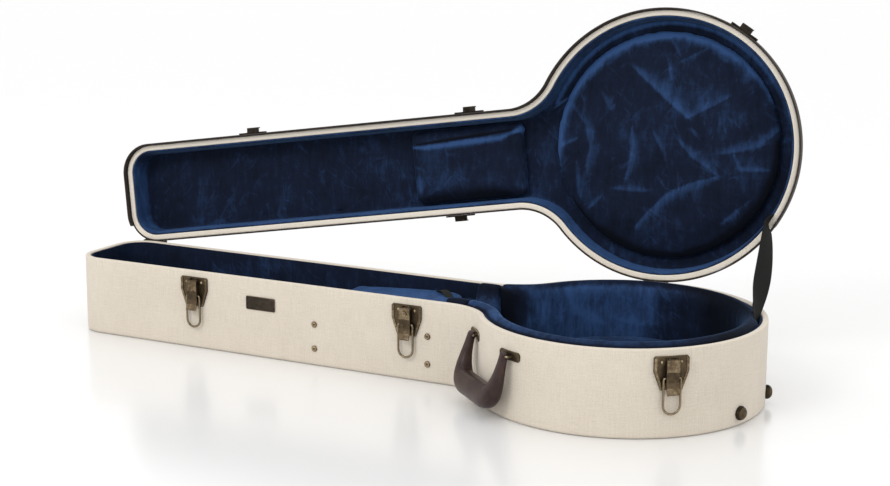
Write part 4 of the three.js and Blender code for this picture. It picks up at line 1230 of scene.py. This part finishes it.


# Marks on the lid's pads: paths on the closed lid's plan in millimetres, then how far each spreads to its
# two sides, and how much lighter it is there, darker below nought. Most are crush marks in the pile; the
# ridge, edge and shade marks noted below are painted highlights and painted shade.

lidMarks = {
    "round": [
        ([(-37, -117), (-13, -91), (9, -66), (36, -37)], 2.4, 14, 0.26),
        ([(36, -37), (96, -60)], 1.6, 12, 0.19),
        ([(14, -123), (17, -94)], 1.6, 4, 0.15),
        ([(-88, -87), (-78, -62), (-71, -76)], 2.4, 8, 0.16),
        ([(-135, -71), (-116, -43), (-112, -7), (-124, 28), (-135, 62)], 2.4, 11, 0.16),
        ([(-48, -30), (-49, -1), (-58, 30), (-65, 44)], 2.4, 9, 0.22),
        ([(-16, -21), (-4, 9), (0, 32)], 1.6, 5, 0.17),
        ([(21, -4), (37, 18), (72, 50)], 2.4, 9, 0.20),
        ([(72, 51), (33, 58), (-3, 70), (-35, 94), (-55, 113)], 2.4, 12, 0.25),
        ([(-82, 55), (-32, 63)], 2.4, 7, 0.19),
        ([(-124, 81), (-102, 65)], 2.4, 5, 0.19),
        ([(83, 19), (135, 13), (163, -8)], 2.4, 12, 0.21),
        ([(97, 23), (104, 44), (144, 49)], 2.0, 5, 0.20),
        ([(-136, 9), (-138, 62)], 2.4, 7, 0.16),
        ([(-174, -9), (-130, -23)], 1.6, 4, 0.21),
        ([(40, -22), (45, -7)], 1.6, 4, 0.16),
        ([(115, 88), (69, 119)], 2.0, 7, 0.17),
        ([(-16, 43), (-8, 58)], 1.6, 4, 0.14),
        ([(73, -134), (31, -118)], 1.6, 4, 0.12),
        ([(19, -154), (32, -127)], 1.6, 4, 0.14),
        # Painted highlights along the pad's upper ridge, where it faces the light.
        (
            [(-170, 14), (-161, -52), (-143, -92), (-117, -122), (-84, -146), (-36, -163), (30, -165)],
            13,
            9,
            1,
        ),
        (
            [(-60, -158), (-20, -165), (40, -163), (84, -145), (122, -116), (148, -82), (163, -44)],
            11,
            10,
            0.85,
        ),
        # A painted highlight on the pad's left edge.
        ([(-176, -6), (-172, -40), (-160, -70)], 16, 6, 0.3),
        # Painted shade over the lower part of the pad, where it faces down.
        ([(-150, 68), (-128, 104), (-92, 132), (-50, 152), (0, 160)], 13, 9, -0.34),
        ([(0, 160), (50, 152), (92, 132), (128, 100), (152, 55), (160, 10)], 13, 9, -0.34),
    ],
    "neck": [
        # A painted highlight along the pad's top edge.
        ([(-391, -32), (-370, -30), (-298, -33), (-250, -34), (-232, -40), (-214, -45)], 5, 5, 0.55),
        ([(-384, 14), (-384, 36)], 6, 7, 0.24),
        # A painted highlight where that edge ends.
        ([(-226, -42), (-217, -46), (-210, -43)], 7, 6, 0.45),
        # Painted shade in the fold above that edge, and over the pad's lower part.
        ([(-384, -36), (-310, -40), (-232, -45)], 2.5, 2, -0.35),
        ([(-386, 50), (-220, 50)], 14, 12, -0.26),
    ],
}


leaf = {"narrow": 0.35, "tip": 0.02, "bulge": 0.8, "faint": 0.6}


def markField(plan, marks):
    # Each mark is a slender leaf along its path, crisp on one side and feathered on the other.
    field = np.zeros(len(plan))
    for path, near, far, lift in marks:
        path = np.array(path) * 0.001
        lengths = np.hypot(*(path[1:] - path[:-1]).T)
        whole = lengths.sum()
        best = np.zeros(len(plan))
        run = 0.0
        for start, end, length in zip(path[:-1], path[1:], lengths):
            ahead = (end - start) / length
            off = plan - start
            along = off @ ahead
            held = np.clip(along, 0, length)
            side = off @ np.array((-ahead[1], ahead[0]))
            beyond = np.hypot(along - held, side)
            share = np.clip((run + held) / whole, leaf["tip"], 1 - leaf["tip"])
            width = leaf["narrow"] + (1 - leaf["narrow"]) * np.sin(np.pi * share) ** leaf["bulge"]
            reach = np.where(side > 0, near, far) * 0.001 * width
            strength = leaf["faint"] + (1 - leaf["faint"]) * width
            best = np.maximum(best, np.exp(-((beyond / reach) ** 2)) * strength)
            run += length
        field += lift * best
    return field


markLimits = {"depth": 0.02, "sunk": -0.3, "raised": 0.6}


def lidMarker(marks, relief):
    def mark(bm):
        crushAndPaintedLight = bm.verts.layers.float.new("crushAndPaintedLight")
        places = lidSpace(np.array([vert.co[:] for vert in bm.verts]))
        field = markField(places[:, :2], marks)
        field[places[:, 2] > lidPadFace + markLimits["depth"]] = 0
        for vert, lift in zip(bm.verts, field):
            vert[crushAndPaintedLight] = lift
            lift = clamp(lift, markLimits["sunk"], markLimits["raised"])
            vert.co += vert.normal * (relief * lift)

    return mark


# Painted light and shade on the padding round the body, by angle: on its inner face, and on the roll along
# its top.

sideLook = {
    "wall": (
        (-180, -60, 0, 50, 72, 93, 104, 150, 160, 168, 180),
        (-0.3, -0.2, -0.42, -0.34, -0.06, 0.08, 0.28, 0.32, 0.14, -0.3, -0.3),
    ),
    "roll": (
        (-180, -140, -110, -40, 0, 60, 110, 180),
        (0.26, 0.22, 0.14, 0, -0.42, -0.32, 0, 0.08),
    ),
    "streaks": [
        ([(412, 116), (392, 84), (351, 60)], 7, 12, 0.16),
        ([(282, 112), (278, 60)], 8, 10, 0.16),
        ([(330, 66), (300, 60), (270, 62)], 3, 8, 0.14),
        ([(440, 110), (446, 70)], 4, 10, 0.14),
    ],
    "radius": 0.165,
    "rollFoot": 0.112,
    "rollRise": 0.005,
    "stretchFrom": 0.09,
}


def markSide(bm):
    crushAndPaintedLight = bm.verts.layers.float.new("crushAndPaintedLight")
    highest = max(vert.co.z for vert in bm.verts)
    low = sideLook["stretchFrom"]
    stretch = (case["padTop"] - low) / (highest - low)
    places = np.array([vert.co[:] for vert in bm.verts])
    turns = np.arctan2(places[:, 1], places[:, 0])
    spread = np.stack((turns * sideLook["radius"], places[:, 2]), axis=1)
    streaks = markField(spread, sideLook["streaks"])
    for vert, turn, streak in zip(bm.verts, turns, streaks):
        degrees = math.degrees(turn)
        up = clamp((vert.co.z - sideLook["rollFoot"]) / sideLook["rollRise"])
        # Painted light and shade by angle on the inner face and on the roll, with lighter streaks added.
        inner = np.interp(degrees, *sideLook["wall"]) + streak
        vert[crushAndPaintedLight] = inner * (1 - up) + np.interp(degrees, *sideLook["roll"]) * up
        if vert.co.z > low:
            vert.co.z = low + (vert.co.z - low) * stretch


def evenLift(low, lowLift, high, highLift):
    # Lighter or darker, changing from one height to another.
    def mark(bm):
        crushAndPaintedLight = bm.verts.layers.float.new("crushAndPaintedLight")
        for vert in bm.verts:
            vert[crushAndPaintedLight] = np.interp(vert.co.z, (low, high), (lowLift, highLift))

    return mark


def buildPads():
    makePad("body_side_pad", markSide)
    makePad("body_floor_pad", evenLift(0.03, 0.1, 0.06, 0.1))
    # The cradle is darker at the top and lighter below.
    makePad("neck_cradle", evenLift(0.1, 0.14, 0.116, -0.12))
    # The compartment lid is painted lighter towards its top, a painted highlight where it faces the light.
    makePad("compartment_lid", evenLift(0.08, 0.16, 0.1, 0.27), finish="velvetPaintedLit", passes=3)
    makePad("lid_body_pad", lidMarker(lidMarks["round"], 0.0012))
    makePad("lid_neck_pad", lidMarker(lidMarks["neck"], 0.0025))


buildPads()
print("padding filled")

# Floor and light.

stageLook = {
    "sky": 1.08,
    "floor": {"tone": 0.82, "size": 24, "below": 0.0002, "roughness": 0.2, "metallic": 0.12},
}
lights = {
    "KeyLight": {"place": (-1.3, -2.9, 2.5), "aim": (-0.2, 0, 0.15), "size": 1.4, "power": 38},
    "TopLight": {"place": (-0.2, 0.3, 2.8), "aim": (-0.2, 0, 0), "size": 2.4, "power": 6},
    "FillLight": {"place": (2.6, -1.4, 1.2), "aim": (0, 0, 0.1), "size": 1.5, "power": 7},
}


def makeStage():
    look = stageLook["floor"]
    bm = bmesh.new()
    bmesh.ops.create_grid(bm, x_segments=1, y_segments=1, size=look["size"])
    bmesh.ops.translate(bm, verts=bm.verts, vec=(0, 0, -look["below"]))
    floor = newObject(bm, "StudioFloor")
    tone = (*[look["tone"]] * 3, 1)
    finish = {"Base_Color": tone, "Roughness": look["roughness"], "Metallic": look["metallic"]}
    material = newFinish("WhiteTable", **finish)[0]
    floor.data.materials.append(material)
    world = bpy.data.worlds.new("StudioSky")
    world.use_nodes = True
    sky = world.node_tree.nodes["Background"].inputs
    sky["Color"].default_value = (1, 1, 1, 1)
    sky["Strength"].default_value = stageLook["sky"]
    scene.world = world
    for name, look in lights.items():
        lamp = bpy.data.lights.new(name, "AREA")
        lamp.size = look["size"]
        lamp.energy = look["power"]
        holder = bpy.data.objects.new(name, lamp)
        holder.location = look["place"]
        aim = Vector(look["aim"]) - Vector(look["place"])
        holder.rotation_euler = aim.to_track_quat("-Z", "Y").to_euler()
        scene.collection.objects.link(holder)


makeStage()
